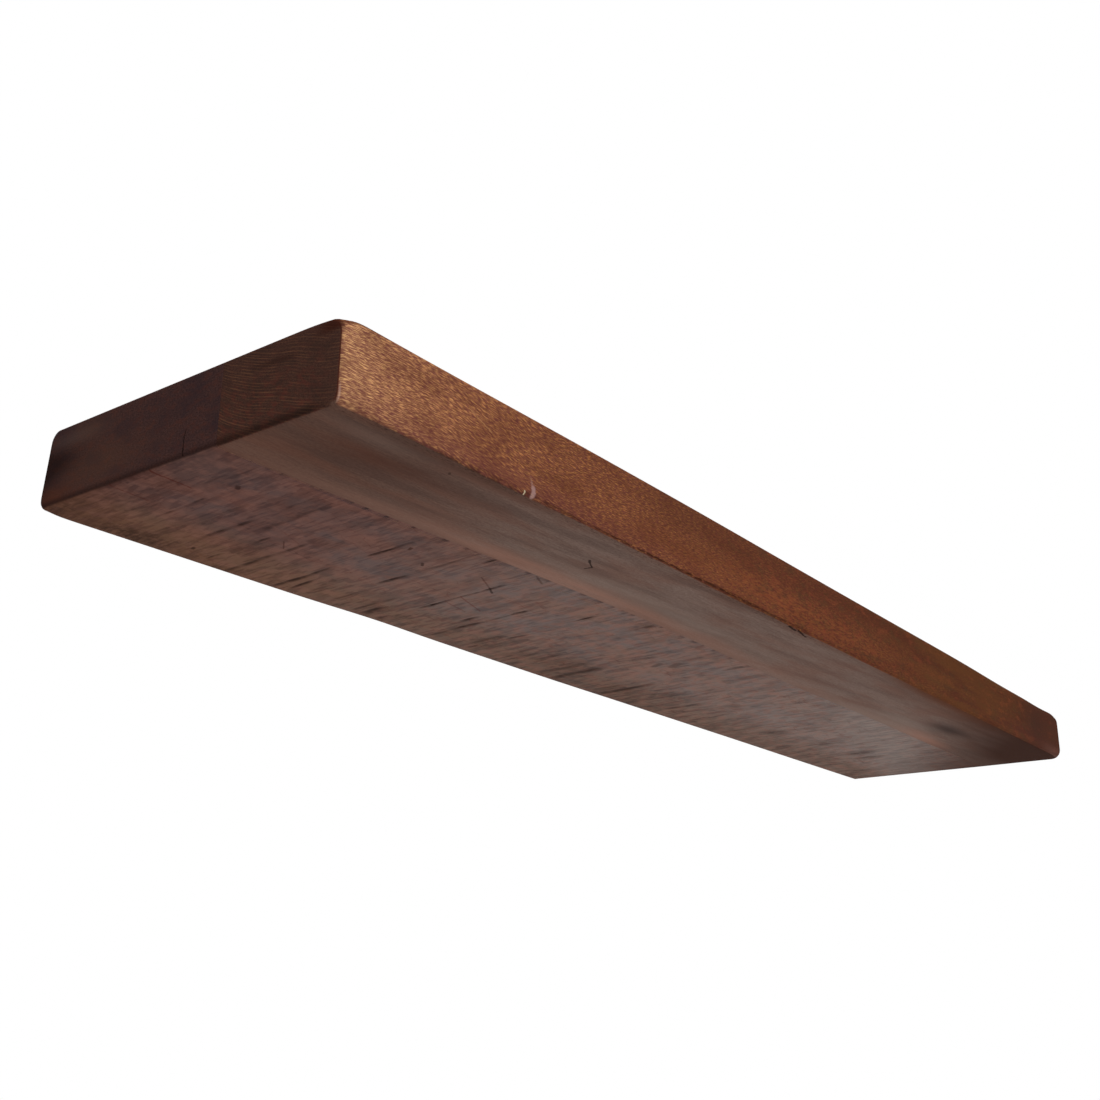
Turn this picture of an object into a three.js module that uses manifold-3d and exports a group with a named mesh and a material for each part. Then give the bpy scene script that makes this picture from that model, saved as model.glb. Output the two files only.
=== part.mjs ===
// Floating wall shelf: two edge-joined boards that slide onto a hidden steel bracket.
// Millimetres, +Z up. The origin is on the wall plane, on the rear face of the bracket
// plate, at the middle of its length and height. The shelf's front faces -Y.

import * as THREE from 'three';
import { mergeVertices } from 'three/addons/utils/BufferGeometryUtils.js';
import Module from 'manifold-3d';

const wasm = await Module();
wasm.setup();

// Shelf boards
const shelfLength = 900;
const shelfDepth = 200;
const shelfThickness = 40;
const frontBoardDepth = 72;
const arrisRadius = 2.2;
const cornerRadius = 6;
const cornerReach = 14;

// Loose tenons across the glued joint between the boards
const tenonLength = 50;
const tenonWidth = 22;
const tenonThickness = 8;
const tenonClearance = 0.2;
const mortiseEndClearance = 0.6;

// Bracket plate, and the recess that hides it in the back of the shelf
const plateHeight = 25;
const plateThickness = 5;
const plateInset = 70;
const plateCornerRadius = 3;
const recessClearance = 1;
const recessDepthClearance = 0.5;

// Rods, and the bores that slide over them
const rodCount = 4;
const rodDiameter = 12;
const rodEndMargin = 20;
const rodFrontCover = 45;
const rodTipChamfer = 1.5;
const rodSeatInset = 0.5;
const boreClearance = 0.3;
const boreEndClearance = 5;

// Fillet welds between the rods and the plate
const weldLeg = 3;
const weldFitClearance = 0.2;
const weldPocketClearance = 0.8;
const weldProfileShares = [[0, 0], [1, 0], [0.62, 0.62], [0, 1]];

// Countersunk wall screws
const screwLength = 50;
const screwDiameter = 5;
const screwHeadDiameter = 10;
const screwHeadHeight = 3;
const screwHeadRim = 0.5;
const screwPointLength = 7;
const screwClearance = 0.3;
const driveSlotLength = 5.2;
const driveSlotWidth = 1.2;
const driveSlotDepth = 2;

// Cuts run this far past the faces that they open
const overrun = 2;

// Steps on round shapes
const arrisSteps = 4;
const blendSteps = 3;
const roundSides = 24;
const screwSides = 16;
const outlineSteps = 5;

// Finishes
const frontBoardFinish = { color: 0x74492f, roughness: 0.55, metalness: 0 };
const rearBoardFinish = { color: 0x5b4038, roughness: 0.7, metalness: 0 };
const tenonFinish = { color: 0xc8a376, roughness: 0.8, metalness: 0 };
const barFinish = { color: 0x4c4e52, roughness: 0.5, metalness: 0.9 };
const weldFinish = { color: 0x6a645d, roughness: 0.6, metalness: 0.9 };
const screwFinish = { color: 0xb9b4a4, roughness: 0.35, metalness: 1 };

// Values worked out from the sizes above
const rearBoardDepth = shelfDepth - frontBoardDepth;
const plateLength = shelfLength - 2 * plateInset;
const rodRadius = rodDiameter / 2;
const outerRodX = plateLength / 2 - rodEndMargin;
const rodPitch = (2 * outerRodX) / (rodCount - 1);
const rodReach = shelfDepth - rodFrontCover;
const boreRadius = rodRadius + boreClearance;
const recessDepth = plateThickness + recessDepthClearance;
const weldInnerRadius = rodRadius + weldFitClearance;
const weldPocketRadius = weldInnerRadius + weldLeg + weldPocketClearance;
const weldPocketDepth = plateThickness + weldLeg + weldPocketClearance;
const screwRadius = screwDiameter / 2;
const screwHeadRadius = screwHeadDiameter / 2;
const screwCount = 2 * (rodCount - 1);
const screwPitch = rodPitch / 2;
const middleTenonCount = rodCount - 1;
const endTenonX = (outerRodX + shelfLength / 2) / 2;

// Booleans

function solidOf(geometry) {
  const bare = geometry.clone();
  bare.deleteAttribute('normal');
  bare.deleteAttribute('uv');
  const merged = mergeVertices(bare);
  return new wasm.Manifold(new wasm.Mesh({
    numProp: 3,
    vertProperties: new Float32Array(merged.attributes.position.array),
    triVerts: new Uint32Array(merged.index.array),
  }));
}

function geometryOf(solid) {
  const mesh = solid.getMesh();
  const geometry = new THREE.BufferGeometry();
  geometry.setAttribute('position', new THREE.BufferAttribute(mesh.vertProperties, 3));
  geometry.setIndex(new THREE.BufferAttribute(mesh.triVerts, 1));
  geometry.computeVertexNormals();
  return geometry;
}

function cutAll(solid, cutters) {
  return cutters.reduce((rest, cutter) => rest.subtract(cutter), solid);
}

// Shapes that several pieces share

// The x of each copy in a row that is centred on the middle of the shelf.
function centredRow(count, pitch) {
  return Array.from({ length: count }, (_, index) => (index - (count - 1) / 2) * pitch);
}

// An outline in the XZ plane with rounded corners, drawn about its middle.
function roundedRectangle(width, height, radius) {
  const right = width / 2;
  const top = height / 2;
  const shape = new THREE.Shape();
  shape.moveTo(right, top - radius);
  shape.absarc(right - radius, top - radius, radius, 0, Math.PI / 2, false);
  shape.absarc(radius - right, top - radius, radius, Math.PI / 2, Math.PI, false);
  shape.absarc(radius - right, radius - top, radius, Math.PI, 3 * Math.PI / 2, false);
  shape.absarc(right - radius, radius - top, radius, 3 * Math.PI / 2, 2 * Math.PI, false);
  shape.closePath();
  return shape;
}

// Extrudes an XZ outline toward the front, from y = backY.
function extrudeForward(shape, length, backY) {
  const geometry = new THREE.ExtrudeGeometry(shape, {
    depth: length,
    bevelEnabled: false,
    curveSegments: outlineSteps,
  });
  geometry.rotateX(Math.PI / 2);
  geometry.translate(0, backY, 0);
  return geometry;
}

// A round bar or cutter along Y, between two depths behind the front.
function roundBar(radius, backY, frontY, sides) {
  const geometry = new THREE.CylinderGeometry(radius, radius, backY - frontY, sides);
  geometry.translate(0, (backY + frontY) / 2, 0);
  return geometry;
}

// Turns a profile of [radius, distance forward of backY] points about the Y axis.
function turnForward(profile, backY, sides) {
  const points = profile.map(([radius, forward]) => new THREE.Vector2(radius, backY - forward));
  return new THREE.LatheGeometry(points, sides);
}

function placedAtX(geometry, x) {
  return geometry.clone().translate(x, 0, 0);
}

// The panel: both boards glued up and shaped as one

// Which side of the middle each corner of the section is on, in Y and in Z.
const cornerSides = [[1, 1], [-1, 1], [-1, -1], [1, -1]];

// One ring of points round the panel, with rounded arrises.
function panelRing(x, inset, radius) {
  const ring = [];
  cornerSides.forEach(([sideY, sideZ], corner) => {
    const centreY = sideY * (shelfDepth / 2 - inset - radius) - shelfDepth / 2;
    const centreZ = sideZ * (shelfThickness / 2 - inset - radius);
    for (let step = 0; step <= arrisSteps; step += 1) {
      const angle = (corner + step / arrisSteps) * Math.PI / 2;
      ring.push([x, centreY + radius * Math.cos(angle), centreZ + radius * Math.sin(angle)]);
    }
  });
  return ring;
}

// The rings from one end face inward: round the end arris first, and then let the
// fuller corner die away along the length.
function panelEndStations() {
  const stations = [];
  for (let step = 0; step < arrisSteps; step += 1) {
    const angle = (step / arrisSteps) * Math.PI / 2;
    stations.push({
      fromEnd: arrisRadius * (1 - Math.cos(angle)),
      inset: arrisRadius * (1 - Math.sin(angle)),
    });
  }
  for (let step = 0; step <= blendSteps; step += 1) {
    const share = step / blendSteps;
    stations.push({ fromEnd: arrisRadius + share * (cornerReach - arrisRadius), inset: 0 });
  }
  return stations.map(({ fromEnd, inset }) => {
    const fade = 1 - fromEnd / cornerReach;
    const radius = arrisRadius + (cornerRadius - arrisRadius) * fade * fade - inset;
    return { fromEnd, inset, radius };
  });
}

function panelGeometry() {
  const stations = panelEndStations();
  const leftRings = stations.map(({ fromEnd, inset, radius }) =>
    panelRing(fromEnd - shelfLength / 2, inset, radius));
  const rightRings = stations.map(({ fromEnd, inset, radius }) =>
    panelRing(shelfLength / 2 - fromEnd, inset, radius)).reverse();
  const rings = [...leftRings, ...rightRings];
  const sides = rings[0].length;
  const index = [];
  for (let ring = 0; ring < rings.length - 1; ring += 1) {
    for (let side = 0; side < sides; side += 1) {
      const next = (side + 1) % sides;
      const a = ring * sides + side;
      const b = ring * sides + next;
      const c = a + sides;
      const d = b + sides;
      index.push(a, b, c, b, d, c);
    }
  }
  const last = (rings.length - 1) * sides;
  for (let side = 1; side < sides - 1; side += 1) {
    index.push(0, side + 1, side);
    index.push(last, last + side, last + side + 1);
  }
  const geometry = new THREE.BufferGeometry();
  const positions = new Float32Array(rings.flat(2));
  geometry.setAttribute('position', new THREE.BufferAttribute(positions, 3));
  geometry.setIndex(index);
  return geometry;
}

function boxCutter(width, backY, frontY, height) {
  const geometry = new THREE.BoxGeometry(width, backY - frontY, height);
  geometry.translate(0, (backY + frontY) / 2, 0);
  return solidOf(geometry);
}

// Positions along the length

const rodXs = centredRow(rodCount, rodPitch);
const screwXs = centredRow(screwCount, screwPitch);
const tenonXs = [-endTenonX, ...centredRow(middleTenonCount, rodPitch), endTenonX];

// Boards

const jointY = -rearBoardDepth;

function mortiseCutters() {
  const width = tenonWidth + 2 * tenonClearance;
  const height = tenonThickness + 2 * tenonClearance;
  const length = tenonLength + 2 * mortiseEndClearance;
  const outline = roundedRectangle(width, height, height / 2);
  const cutter = extrudeForward(outline, length, jointY + length / 2);
  return tenonXs.map((x) => solidOf(placedAtX(cutter, x)));
}

function boreCutters() {
  const bore = roundBar(boreRadius, overrun, -(rodReach + boreEndClearance), roundSides);
  return rodXs.map((x) => solidOf(placedAtX(bore, x)));
}

function weldPocketCutters() {
  const pocket = roundBar(weldPocketRadius, overrun, -weldPocketDepth, roundSides);
  return rodXs.map((x) => solidOf(placedAtX(pocket, x)));
}

function plateRecessCutter() {
  const outline = roundedRectangle(
    plateLength + 2 * recessClearance,
    plateHeight + 2 * recessClearance,
    plateCornerRadius + recessClearance,
  );
  return solidOf(extrudeForward(outline, recessDepth + overrun, overrun));
}

function buildBoards() {
  const panel = solidOf(panelGeometry());
  const width = shelfLength + 2 * overrun;
  const height = shelfThickness + 2 * overrun;
  const rearHalf = boxCutter(width, overrun, jointY, height);
  const jointCutters = [...boreCutters(), ...mortiseCutters()];
  const front = cutAll(panel.subtract(rearHalf), jointCutters);
  const rear = cutAll(panel.intersect(rearHalf), [
    ...jointCutters,
    ...weldPocketCutters(),
    plateRecessCutter(),
  ]);
  return { front: geometryOf(front), rear: geometryOf(rear) };
}

function tenonGeometry() {
  const outline = roundedRectangle(tenonWidth, tenonThickness, tenonThickness / 2);
  return extrudeForward(outline, tenonLength, jointY + tenonLength / 2);
}

// Bracket

function screwHoleCutter() {
  const wide = screwHeadRadius + screwClearance;
  const narrow = screwRadius + screwClearance;
  const coneStart = plateThickness - screwHeadHeight;
  const coneEnd = plateThickness - screwHeadRim;
  return turnForward([
    [0, plateThickness + overrun],
    [wide, plateThickness + overrun],
    [wide, coneEnd],
    [narrow, coneStart],
    [narrow, -overrun],
    [0, -overrun],
  ], 0, screwSides);
}

function plateGeometry() {
  const outline = roundedRectangle(plateLength, plateHeight, plateCornerRadius);
  const blank = solidOf(extrudeForward(outline, plateThickness, 0));
  const rodHole = roundBar(weldInnerRadius, overrun, -plateThickness - overrun, roundSides);
  const screwHole = screwHoleCutter();
  return geometryOf(cutAll(blank, [
    ...rodXs.map((x) => solidOf(placedAtX(rodHole, x))),
    ...screwXs.map((x) => solidOf(placedAtX(screwHole, x))),
  ]));
}

function rodGeometry() {
  return turnForward([
    [0, rodReach],
    [rodRadius - rodTipChamfer, rodReach],
    [rodRadius, rodReach - rodTipChamfer],
    [rodRadius, rodSeatInset],
    [0, rodSeatInset],
  ], 0, roundSides);
}

function weldGeometry() {
  const profile = weldProfileShares.map(([outward, forward]) =>
    [weldInnerRadius + outward * weldLeg, plateThickness + forward * weldLeg]);
  profile.push(profile[0]);
  return turnForward(profile.reverse(), 0, roundSides);
}

// The head's flat lies flush with the front of the plate, and the point is in the wall.
function screwGeometry() {
  const body = solidOf(turnForward([
    [0, 0],
    [screwHeadRadius, 0],
    [screwHeadRadius, -screwHeadRim],
    [screwRadius, -screwHeadHeight],
    [screwRadius, screwPointLength - screwLength],
    [0, -screwLength],
  ], -plateThickness, screwSides));
  const slotBackY = driveSlotDepth - plateThickness;
  const slotFrontY = -plateThickness - overrun;
  return geometryOf(cutAll(body, [
    boxCutter(driveSlotLength, slotBackY, slotFrontY, driveSlotWidth),
    boxCutter(driveSlotWidth, slotBackY, slotFrontY, driveSlotLength),
  ]));
}

// Assembly

function namedMesh(name, geometry, finish, x = 0) {
  const mesh = new THREE.Mesh(geometry, new THREE.MeshStandardMaterial(finish));
  mesh.name = name;
  mesh.position.x = x;
  return mesh;
}

function meshRow(name, geometry, finish, xs) {
  return xs.map((x, index) => namedMesh(`${name}_${index + 1}`, geometry, finish, x));
}

function buildBracket() {
  const bracket = new THREE.Group();
  bracket.add(
    namedMesh('bracket_plate', plateGeometry(), barFinish),
    ...meshRow('rod', rodGeometry(), barFinish, rodXs),
    ...meshRow('weld_bead', weldGeometry(), weldFinish, rodXs),
    ...meshRow('wall_screw', screwGeometry(), screwFinish, screwXs),
  );
  return bracket;
}

function buildShelf() {
  const boards = buildBoards();
  const shelf = new THREE.Group();
  shelf.add(
    namedMesh('front_board', boards.front, frontBoardFinish),
    namedMesh('rear_board', boards.rear, rearBoardFinish),
    ...meshRow('loose_tenon', tenonGeometry(), tenonFinish, tenonXs),
  );
  return shelf;
}

const floatingShelf = new THREE.Group();
floatingShelf.add(buildBracket(), buildShelf());

export default floatingShelf;
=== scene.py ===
import math
from functools import partialmethod, reduce

import bmesh
import bpy
import numpy as np
from mathutils import Euler, Matrix, Vector


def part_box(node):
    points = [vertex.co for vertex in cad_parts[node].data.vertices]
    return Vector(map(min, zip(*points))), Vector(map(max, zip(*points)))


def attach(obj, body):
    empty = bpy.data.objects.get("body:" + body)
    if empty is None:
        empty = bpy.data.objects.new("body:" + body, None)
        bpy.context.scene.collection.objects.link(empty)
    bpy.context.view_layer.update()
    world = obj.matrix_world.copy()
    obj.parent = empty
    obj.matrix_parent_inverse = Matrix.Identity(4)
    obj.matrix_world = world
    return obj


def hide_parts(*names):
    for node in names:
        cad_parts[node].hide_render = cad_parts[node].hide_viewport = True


# The finished look of the floating shelf. Shapes are worked out in millimetres in the
# frame's axes: +X along the shelf, +Y into the wall, +Z up. Meshes are made in metres.

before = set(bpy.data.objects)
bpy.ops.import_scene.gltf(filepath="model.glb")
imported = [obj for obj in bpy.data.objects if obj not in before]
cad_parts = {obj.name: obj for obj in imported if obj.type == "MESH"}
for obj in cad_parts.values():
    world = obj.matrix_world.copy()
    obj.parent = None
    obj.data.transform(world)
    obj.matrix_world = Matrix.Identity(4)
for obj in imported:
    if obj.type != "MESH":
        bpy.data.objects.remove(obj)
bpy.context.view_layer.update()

MM = 0.001
SEED = 5


def box_mm(node):
    low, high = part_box(node)
    return np.array(low) / MM, np.array(high) / MM


def size_mm(node):
    low, high = box_mm(node)
    return high - low


def middle_x(node):
    low, high = box_mm(node)
    return (low[0] + high[0]) / 2


def nodes_named(start):
    return [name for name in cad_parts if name.startswith(start)]


# Sizes that come from the frame

RODS = nodes_named("rod_")
WELDS = nodes_named("weld_bead_")
SCREWS = nodes_named("wall_screw_")
TENONS = nodes_named("loose_tenon_")

(LEFT_X, JOINT_Y, _), (RIGHT_X, BACK_Y, HALF_THICKNESS) = box_mm("rear_board")
FRONT_Y = box_mm("front_board")[0][1]
REAR_MIDDLE_Y = (JOINT_Y + BACK_Y) / 2
TENON_WIDTH, TENON_LENGTH, TENON_HEIGHT = size_mm("loose_tenon_1")
TENON_FRONT_Y, TENON_BACK_Y = (corner[1] for corner in box_mm("loose_tenon_1"))
PLATE_WIDTH, _, PLATE_HEIGHT = size_mm("bracket_plate")
PLATE_FRONT_Y, PLATE_BACK_Y = (corner[1] for corner in box_mm("bracket_plate"))
PLATE_END_X = box_mm("bracket_plate")[1][0]
ROD_RADIUS = size_mm("rod_1")[2] / 2
ROD_TIP_Y, ROD_SEAT_Y = (corner[1] for corner in box_mm("rod_1"))
ROD_PITCH = middle_x("rod_2") - middle_x("rod_1")
WELD_RADIUS = size_mm("weld_bead_1")[2] / 2
WELD_FRONT_Y = box_mm("weld_bead_1")[0][1]
SCREW_LENGTH = size_mm("wall_screw_1")[1]
SCREW_HEAD_RADIUS = size_mm("wall_screw_1")[2] / 2

# Clearances between the boards and what goes into them

RECESS_CLEARANCE = 1
RECESS_DEPTH_CLEARANCE = 0.5
BORE_CLEARANCE = 0.3
BORE_END_CLEARANCE = 5
WELD_FIT_CLEARANCE = 0.2
WELD_POCKET_CLEARANCE = 0.8
MORTISE_CLEARANCE = 0.2
MORTISE_END_CLEARANCE = 0.6
SCREW_CLEARANCE = 0.3

# How far cutters reach past the face that they open, and how finely shapes are drawn
OVERRUN = 2
ROUND_SIDES = 64
CORNER_STEPS = 8
SHARP_DEGREES = 32
PLATE_SHARP_DEGREES = 25
SCREW_SHARP_DEGREES = 38

# Loose tenons: depths and insets of the softened rim, and the glue flutes
TENON_RIM = [(0, 1.0), (0.35, 0.35), (1.0, 0)]
TENON_END_STEPS = 12
FLUTES = 5
FLUTE_DEPTH = 0.35
FLUTE_STEPS = 60

# Bracket
PLATE_CORNER = 3
PLATE_EDGE = 0.5
PLATE_EDGE_STEPS = 4
HOLE_BREAK = 0.3
ROD_CHAMFER = 1.5
ROD_STEP = 3
ROD_UNEVENNESS = 0.03
ROD_FACE_CENTRE = 0.6
WELD_RIPPLES = 26
WELD_STEPS = 8
WELD_SECTION = [(0, 0), (0, 1), (0.14, 0.93), (0.34, 0.74), (0.56, 0.54), (0.76, 0.33), (0.93, 0.13), (1, 0)]

# Screws: head, shank, thread and cross recess
SCREW_SHANK = 2.5
SCREW_RIM = 0.5
SCREW_HEAD_HEIGHT = 3
SCREW_POINT = 7
SHANK_GAP = 0.6
THREAD_PITCH = 2.2
THREAD_DEPTH = 0.72
THREAD_SIDES = 28
THREAD_STEP = 0.2
THREAD_START = 13
THREAD_RUN_IN = 2.5
SMOOTH_SHANK_INSET = 0.45
SCREW_TIP_RADIUS = 0.05
CROSS_LENGTH = 2.6
CROSS_WIDTH = 0.55
CROSS_DEPTH = 2

# The boards' grid: how far its lines lie from a side, close together where arrises bend
EDGE_LINES = np.array([0, 0.55, 1.1, 1.6, 2.0, 2.6, 3.6, 5.0, 7.0, 9.6])
END_LINES = np.array([0, 0.17, 0.64, 1.36, 2.2, 3.4, 5.0, 7.0])
JOINT_LINES = np.array([0, 0.35, 1.2, 2.6])
LENGTH_STEP = 2.0
DEPTH_STEP = 5.0
MIDDLE_STEP = 4.0
FINEST_STEP = 0.4
FLUSH = 1e-9

# Where the grid begins to follow the saw marks' slant, and over what length it does
SHEAR_START = 8
SHEAR_FADE = 20

# Cut faces lie at least this far inside the boards' stained faces
CUT_MARGIN = 4
CUT_MARGIN_BACK = 0.1
CUT_MARGIN_JOINT = 0.05
CUT_BEYOND_PLATE = 2

JOINT_CHAMFER = 0.08

# How round the boards are: each arris, and its worn stretches with their middle, half
# length and how much rounder they are. The first two rows are the corners at the ends.
ARRIS = 2.2
LOW_FRONT_WEAR = [
    (LEFT_X, 13, 5.0 - ARRIS), (RIGHT_X, 16, 8.0 - ARRIS), (-358, 20, 1.5), (-318, 16, 1.4), (-327, 3, 1.1),
    (-140, 42, 1.5), (-57, 30, 1.3), (-58, 7, 1.4), (34, 40, 1.0), (128, 26, 0.5),
]
TOP_FRONT_WEAR = [
    (LEFT_X, 7, 6.5 - ARRIS), (RIGHT_X, 9, 6.5 - ARRIS),
    (-425, 90, 1.6), (-190, 130, -1.2), (325, 80, 2.8), (412, 42, 3.0),
]
LOW_BACK_WEAR = [
    (LEFT_X, 8, 5.2 - ARRIS), (RIGHT_X, 16, 2.4 - ARRIS), (-225, 42, 2.2), (-45, 60, -0.8), (210, 70, 0.3),
]
TOP_BACK_WEAR = [(LEFT_X, 14, 5.5 - ARRIS), (RIGHT_X, 16, 5.0 - ARRIS)]

# The top falls by this much at its front left corner, over these lengths
CORNER_DROP = 1.1
CORNER_DROP_LENGTH = 5
CORNER_DROP_DEPTH = 13

# The back's left end leans in toward the top by this much, over this length and depth
BACK_LEAN = 3.6
BACK_LEAN_REACH = 22
BACK_LEAN_DEPTH = 30

# The front board's right end leans in toward the underside by this much, over this length
END_LEAN = 1.2
END_LEAN_REACH = 30

# The underside's relief fades out over these distances from an arris and from the joint
RELIEF_FADE = 3
JOINT_FADE = 1.5

# Saw marks lean toward the right by this much for each millimetre toward the back. They
# taper off over the fade, and a faint tail goes on past both ends.
SLANT = 0.06
MARK_FADE = 5
MARK_TAIL = 16

# Stain darkens a saw mark this much wider than its groove
MARK_STAIN = 1.35
FINE_MARK_COUNT = 150
FINE_MARK_HALF_WIDTH = 0.9
FINE_MARK_MARGIN = 8
FINE_MARK_JOINT_MARGIN = 6
FINE_MARK_BACK_LIMIT = -2
GRID_LINES_AT_MARKS = (-1.6, -0.8, 0, 0.8, 1.6)

# Finishes and studio
WOOD_SPECULAR = 0.002
SATIN = 0.42
DULL = 0.92
RING_PITCH = 1.3
WORLD_LIGHT = 0.5
FLOOR_Z = -1.4
FLOOR_RADIUS = 6.0
FLOOR_FADE = (1.2, 5.0)
SHELF_MIDDLE = (0, -0.1, 0)
CAMERA_PLACE = (-0.7682, -0.5424, -0.2412)
CAMERA_AZIMUTH = 52.955
CAMERA_ELEVATION = 19.387
CAMERA_ROLL = 0.566
CAMERA_LENS = 43.284
CAMERA_SENSOR = 36

# Saw marks across the rough underside: x, front end, back end, half width and depth
SAW_MARKS = [
    (-427, -102, -88, 0.7, 0.20), (-430, -72, -56, 0.6, 0.18), (-414, -80, -66, 0.8, 0.26),
    (-413, -56, -42, 0.8, 0.28), (-398, -88, -66, 1.8, 0.20), (-385, -122, -112, 0.9, 0.24),
    (-384, -104, -94, 0.9, 0.22), (-382, -72, -60, 1.0, 0.42), (-382, -54, -38, 0.9, 0.34),
    (-374, -118, -66, 1.5, 0.20), (-361, -64, -48, 0.9, 0.26), (-359, -22, -11, 0.8, 0.34),
    (-344, -72, -46, 1.2, 0.22), (-342, -44, -2, 1.6, 0.25), (-315, -118, -84, 0.9, 0.24),
    (-313, -94, -82, 1.1, 0.34), (-310, -52, -36, 0.9, 0.34), (-308, -36, -2, 1.5, 0.30),
    (-300, -30, -8, 1.2, 0.34), (-282, -134, -90, 1.0, 0.20), (-278, -80, -52, 1.2, 0.22),
    (-276.5, -68, -58, 1.2, 0.28), (-270, -134, -122, 0.9, 0.34), (-271, -30, -8, 1.2, 0.16),
    (-261, -20, -5, 1.1, 0.22), (-251, -48, -5, 1.2, 0.22), (-242, -26, -6, 2.2, 0.28),
    (-234, -110, -90, 1.0, 0.38), (-232, -90, -44, 0.8, 0.22), (-229, -54, -40, 1.1, 0.34),
    (-229, -16, -4, 2.0, 0.22), (-195.5, -58, -42, 1.5, 0.34), (-188.5, -91, -76, 1.1, 0.42),
    (-187, -76, -56, 0.9, 0.14), (-186, -57, -28, 1.5, 0.25), (-183, -24, -3, 1.5, 0.20),
    (-157, -116, -99, 0.9, 0.36), (-155, -48, -20, 2.6, 0.16), (-149, -58, -40, 1.5, 0.26),
    (-147, -19, -6, 1.2, 0.30), (-145, -118, -104, 0.8, 0.20), (-121, -135, -119, 1.8, 0.32),
    (-116, -106, -84, 1.8, 0.07), (-110, -38, -6, 2.2, 0.16), (-99, -50, -34, 2.4, 0.16),
    (-85, -46, -28, 2.2, 0.14), (-70, -50, -4, 3.0, 0.18), (-63.5, -134, -125, 2.0, 0.20),
    (-59, -97, -82, 2.1, 0.18), (-54.5, -52, -3, 2.9, 0.23), (-20, -26, -6, 5.4, 0.12),
    (-7, -36, -4, 2.4, 0.18), (-3.5, -132, -112, 2.2, 0.22), (1, -88, -74, 2.0, 0.14),
    (4, -54, -3, 3.0, 0.24), (23, -130, -105, 2.4, 0.13), (30, -54, -28, 2.2, 0.18),
    (70, -128, -101, 2.4, 0.12), (76, -50, -14, 2.9, 0.19), (122, -96, -87, 3.0, 0.14),
    (125, -63, -54, 3.3, 0.14), (127, -32, -4, 2.6, 0.14), (176, -46, -4, 2.6, 0.16),
    (203, -26, -12, 3.3, 0.14), (271, -76, -46, 3.5, 0.13), (325, -77, -46, 3.9, 0.15),
    (348, -73, -46, 3.5, 0.13),
]

# Dark stains in the rough underside: x, y, half widths along x and y, and strength
STAINS = [
    (-402, -9, 32, 11, 0.72), (-446, -12, 9, 22, 0.5), (-340, -3, 14, 6, 0.35), (-152, -30, 9, 18, 0.30),
    (46, -42, 13, 9, 0.48), (100, -64, 6, 5, 0.36), (203, -45, 9, 9, 0.58), (153, -10, 10, 6, 0.40),
    (30, -6, 40, 9, 0.30), (262, -22, 8, 10, 0.30), (376, -28, 12, 6, 0.25), (425, -8, 16, 7, 0.40),
    (-60, -2, 36, 6, 0.35), (325, -62, 8, 14, 0.52), (348, -60, 7, 13, 0.52), (266, -56, 9, 15, 0.50),
    (400, -26, 14, 9, 0.28), (-70, -30, 30, 22, 0.34), (12, -24, 26, 20, 0.42),
]

# Scratches and spots: x and y of their start and end, half width, strength and tone
SCRATCHES = [
    (-450, -83.5, -426, -82.5, 0.69, 0.58, "#4a150d"), (-450, -55, -428, -54, 0.69, 0.39, "#4a1a12"),
    (-415, -101, -413.5, -99, 1.84, 0.62, "#21110d"), (-309, -108.5, -308, -106, 1.49, 0.66, "#33170a"),
    (-288, -97, -285.5, -94.5, 1.26, 0.62, "#1e100c"), (-373.5, -19, -372.5, -17, 1.38, 0.58, "#1e100c"),
    (-252, -107, -235, -98.5, 0.80, 0.39, "#3c1c12"), (-235, -98.5, -226.5, -93.5, 0.92, 0.66, "#1d0f0b"),
    (-236, -132, -224, -126.5, 0.92, 0.47, "#38201a"), (-232, -75, -204, -66, 0.80, 0.39, "#54201a"),
    (-230, -62, -208, -58, 0.80, 0.31, "#54201a"), (-353, -63, -346, -55, 0.57, 0.47, "#351a14"),
    (-41, -86, -37.5, -79, 3.4, 0.42, "#2b1b17"), (-34.5, -96, -29.5, -89, 4.6, 0.40, "#2b2522"),
]

# Mesh making


def new_object(name, data):
    made = bpy.data.objects.new(name, data)
    bpy.context.scene.collection.objects.link(made)
    return made


def closed_mesh(name, shape):
    """A mesh in metres from points in millimetres, with its faces turned outward."""
    points, faces = shape
    mesh = bpy.data.meshes.new(name)
    mesh.from_pydata((np.asarray(points, float) * MM).tolist(), [], faces)
    work = bmesh.new()
    work.from_mesh(mesh)
    bmesh.ops.recalc_face_normals(work, faces=work.faces)
    work.to_mesh(mesh)
    work.free()
    return mesh


def cut(piece, shape):
    """Cuts a closed shape out of a piece, and keeps the result as the piece's mesh."""
    tool = new_object("cutter", closed_mesh("cutter", shape))
    modifier = piece.modifiers.new("cut", "BOOLEAN")
    modifier.operation = "DIFFERENCE"
    modifier.solver = "MANIFOLD"
    modifier.object = tool
    bpy.context.view_layer.update()
    evaluated = piece.evaluated_get(bpy.context.evaluated_depsgraph_get())
    made = bpy.data.meshes.new_from_object(evaluated)
    piece.modifiers.clear()
    spent = (piece.data, tool.data)
    piece.data = made
    bpy.data.objects.remove(tool)
    for mesh in spent:
        bpy.data.meshes.remove(mesh)


def solid(name, shape, cutters=(), sharp_degrees=SHARP_DEGREES):
    """A piece with shapes cut out of it, smooth but for edges sharper than the angle."""
    piece = new_object(name, closed_mesh(name, shape))
    for cutter in cutters:
        cut(piece, cutter)
    piece.data.shade_smooth()
    piece.data.set_sharp_from_angle(angle=math.radians(sharp_degrees))
    return piece


def placed(shape, *xs):
    """Copies of a shape, one at each of these places along the shelf, as one shape."""
    points, faces = shape
    moved = [(px + x, py, pz) for x in xs for px, py, pz in points]
    joined = []
    for copy in range(len(xs)):
        start = copy * len(points)
        joined += [tuple(start + corner for corner in face) for face in faces]
    return moved, joined


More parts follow.
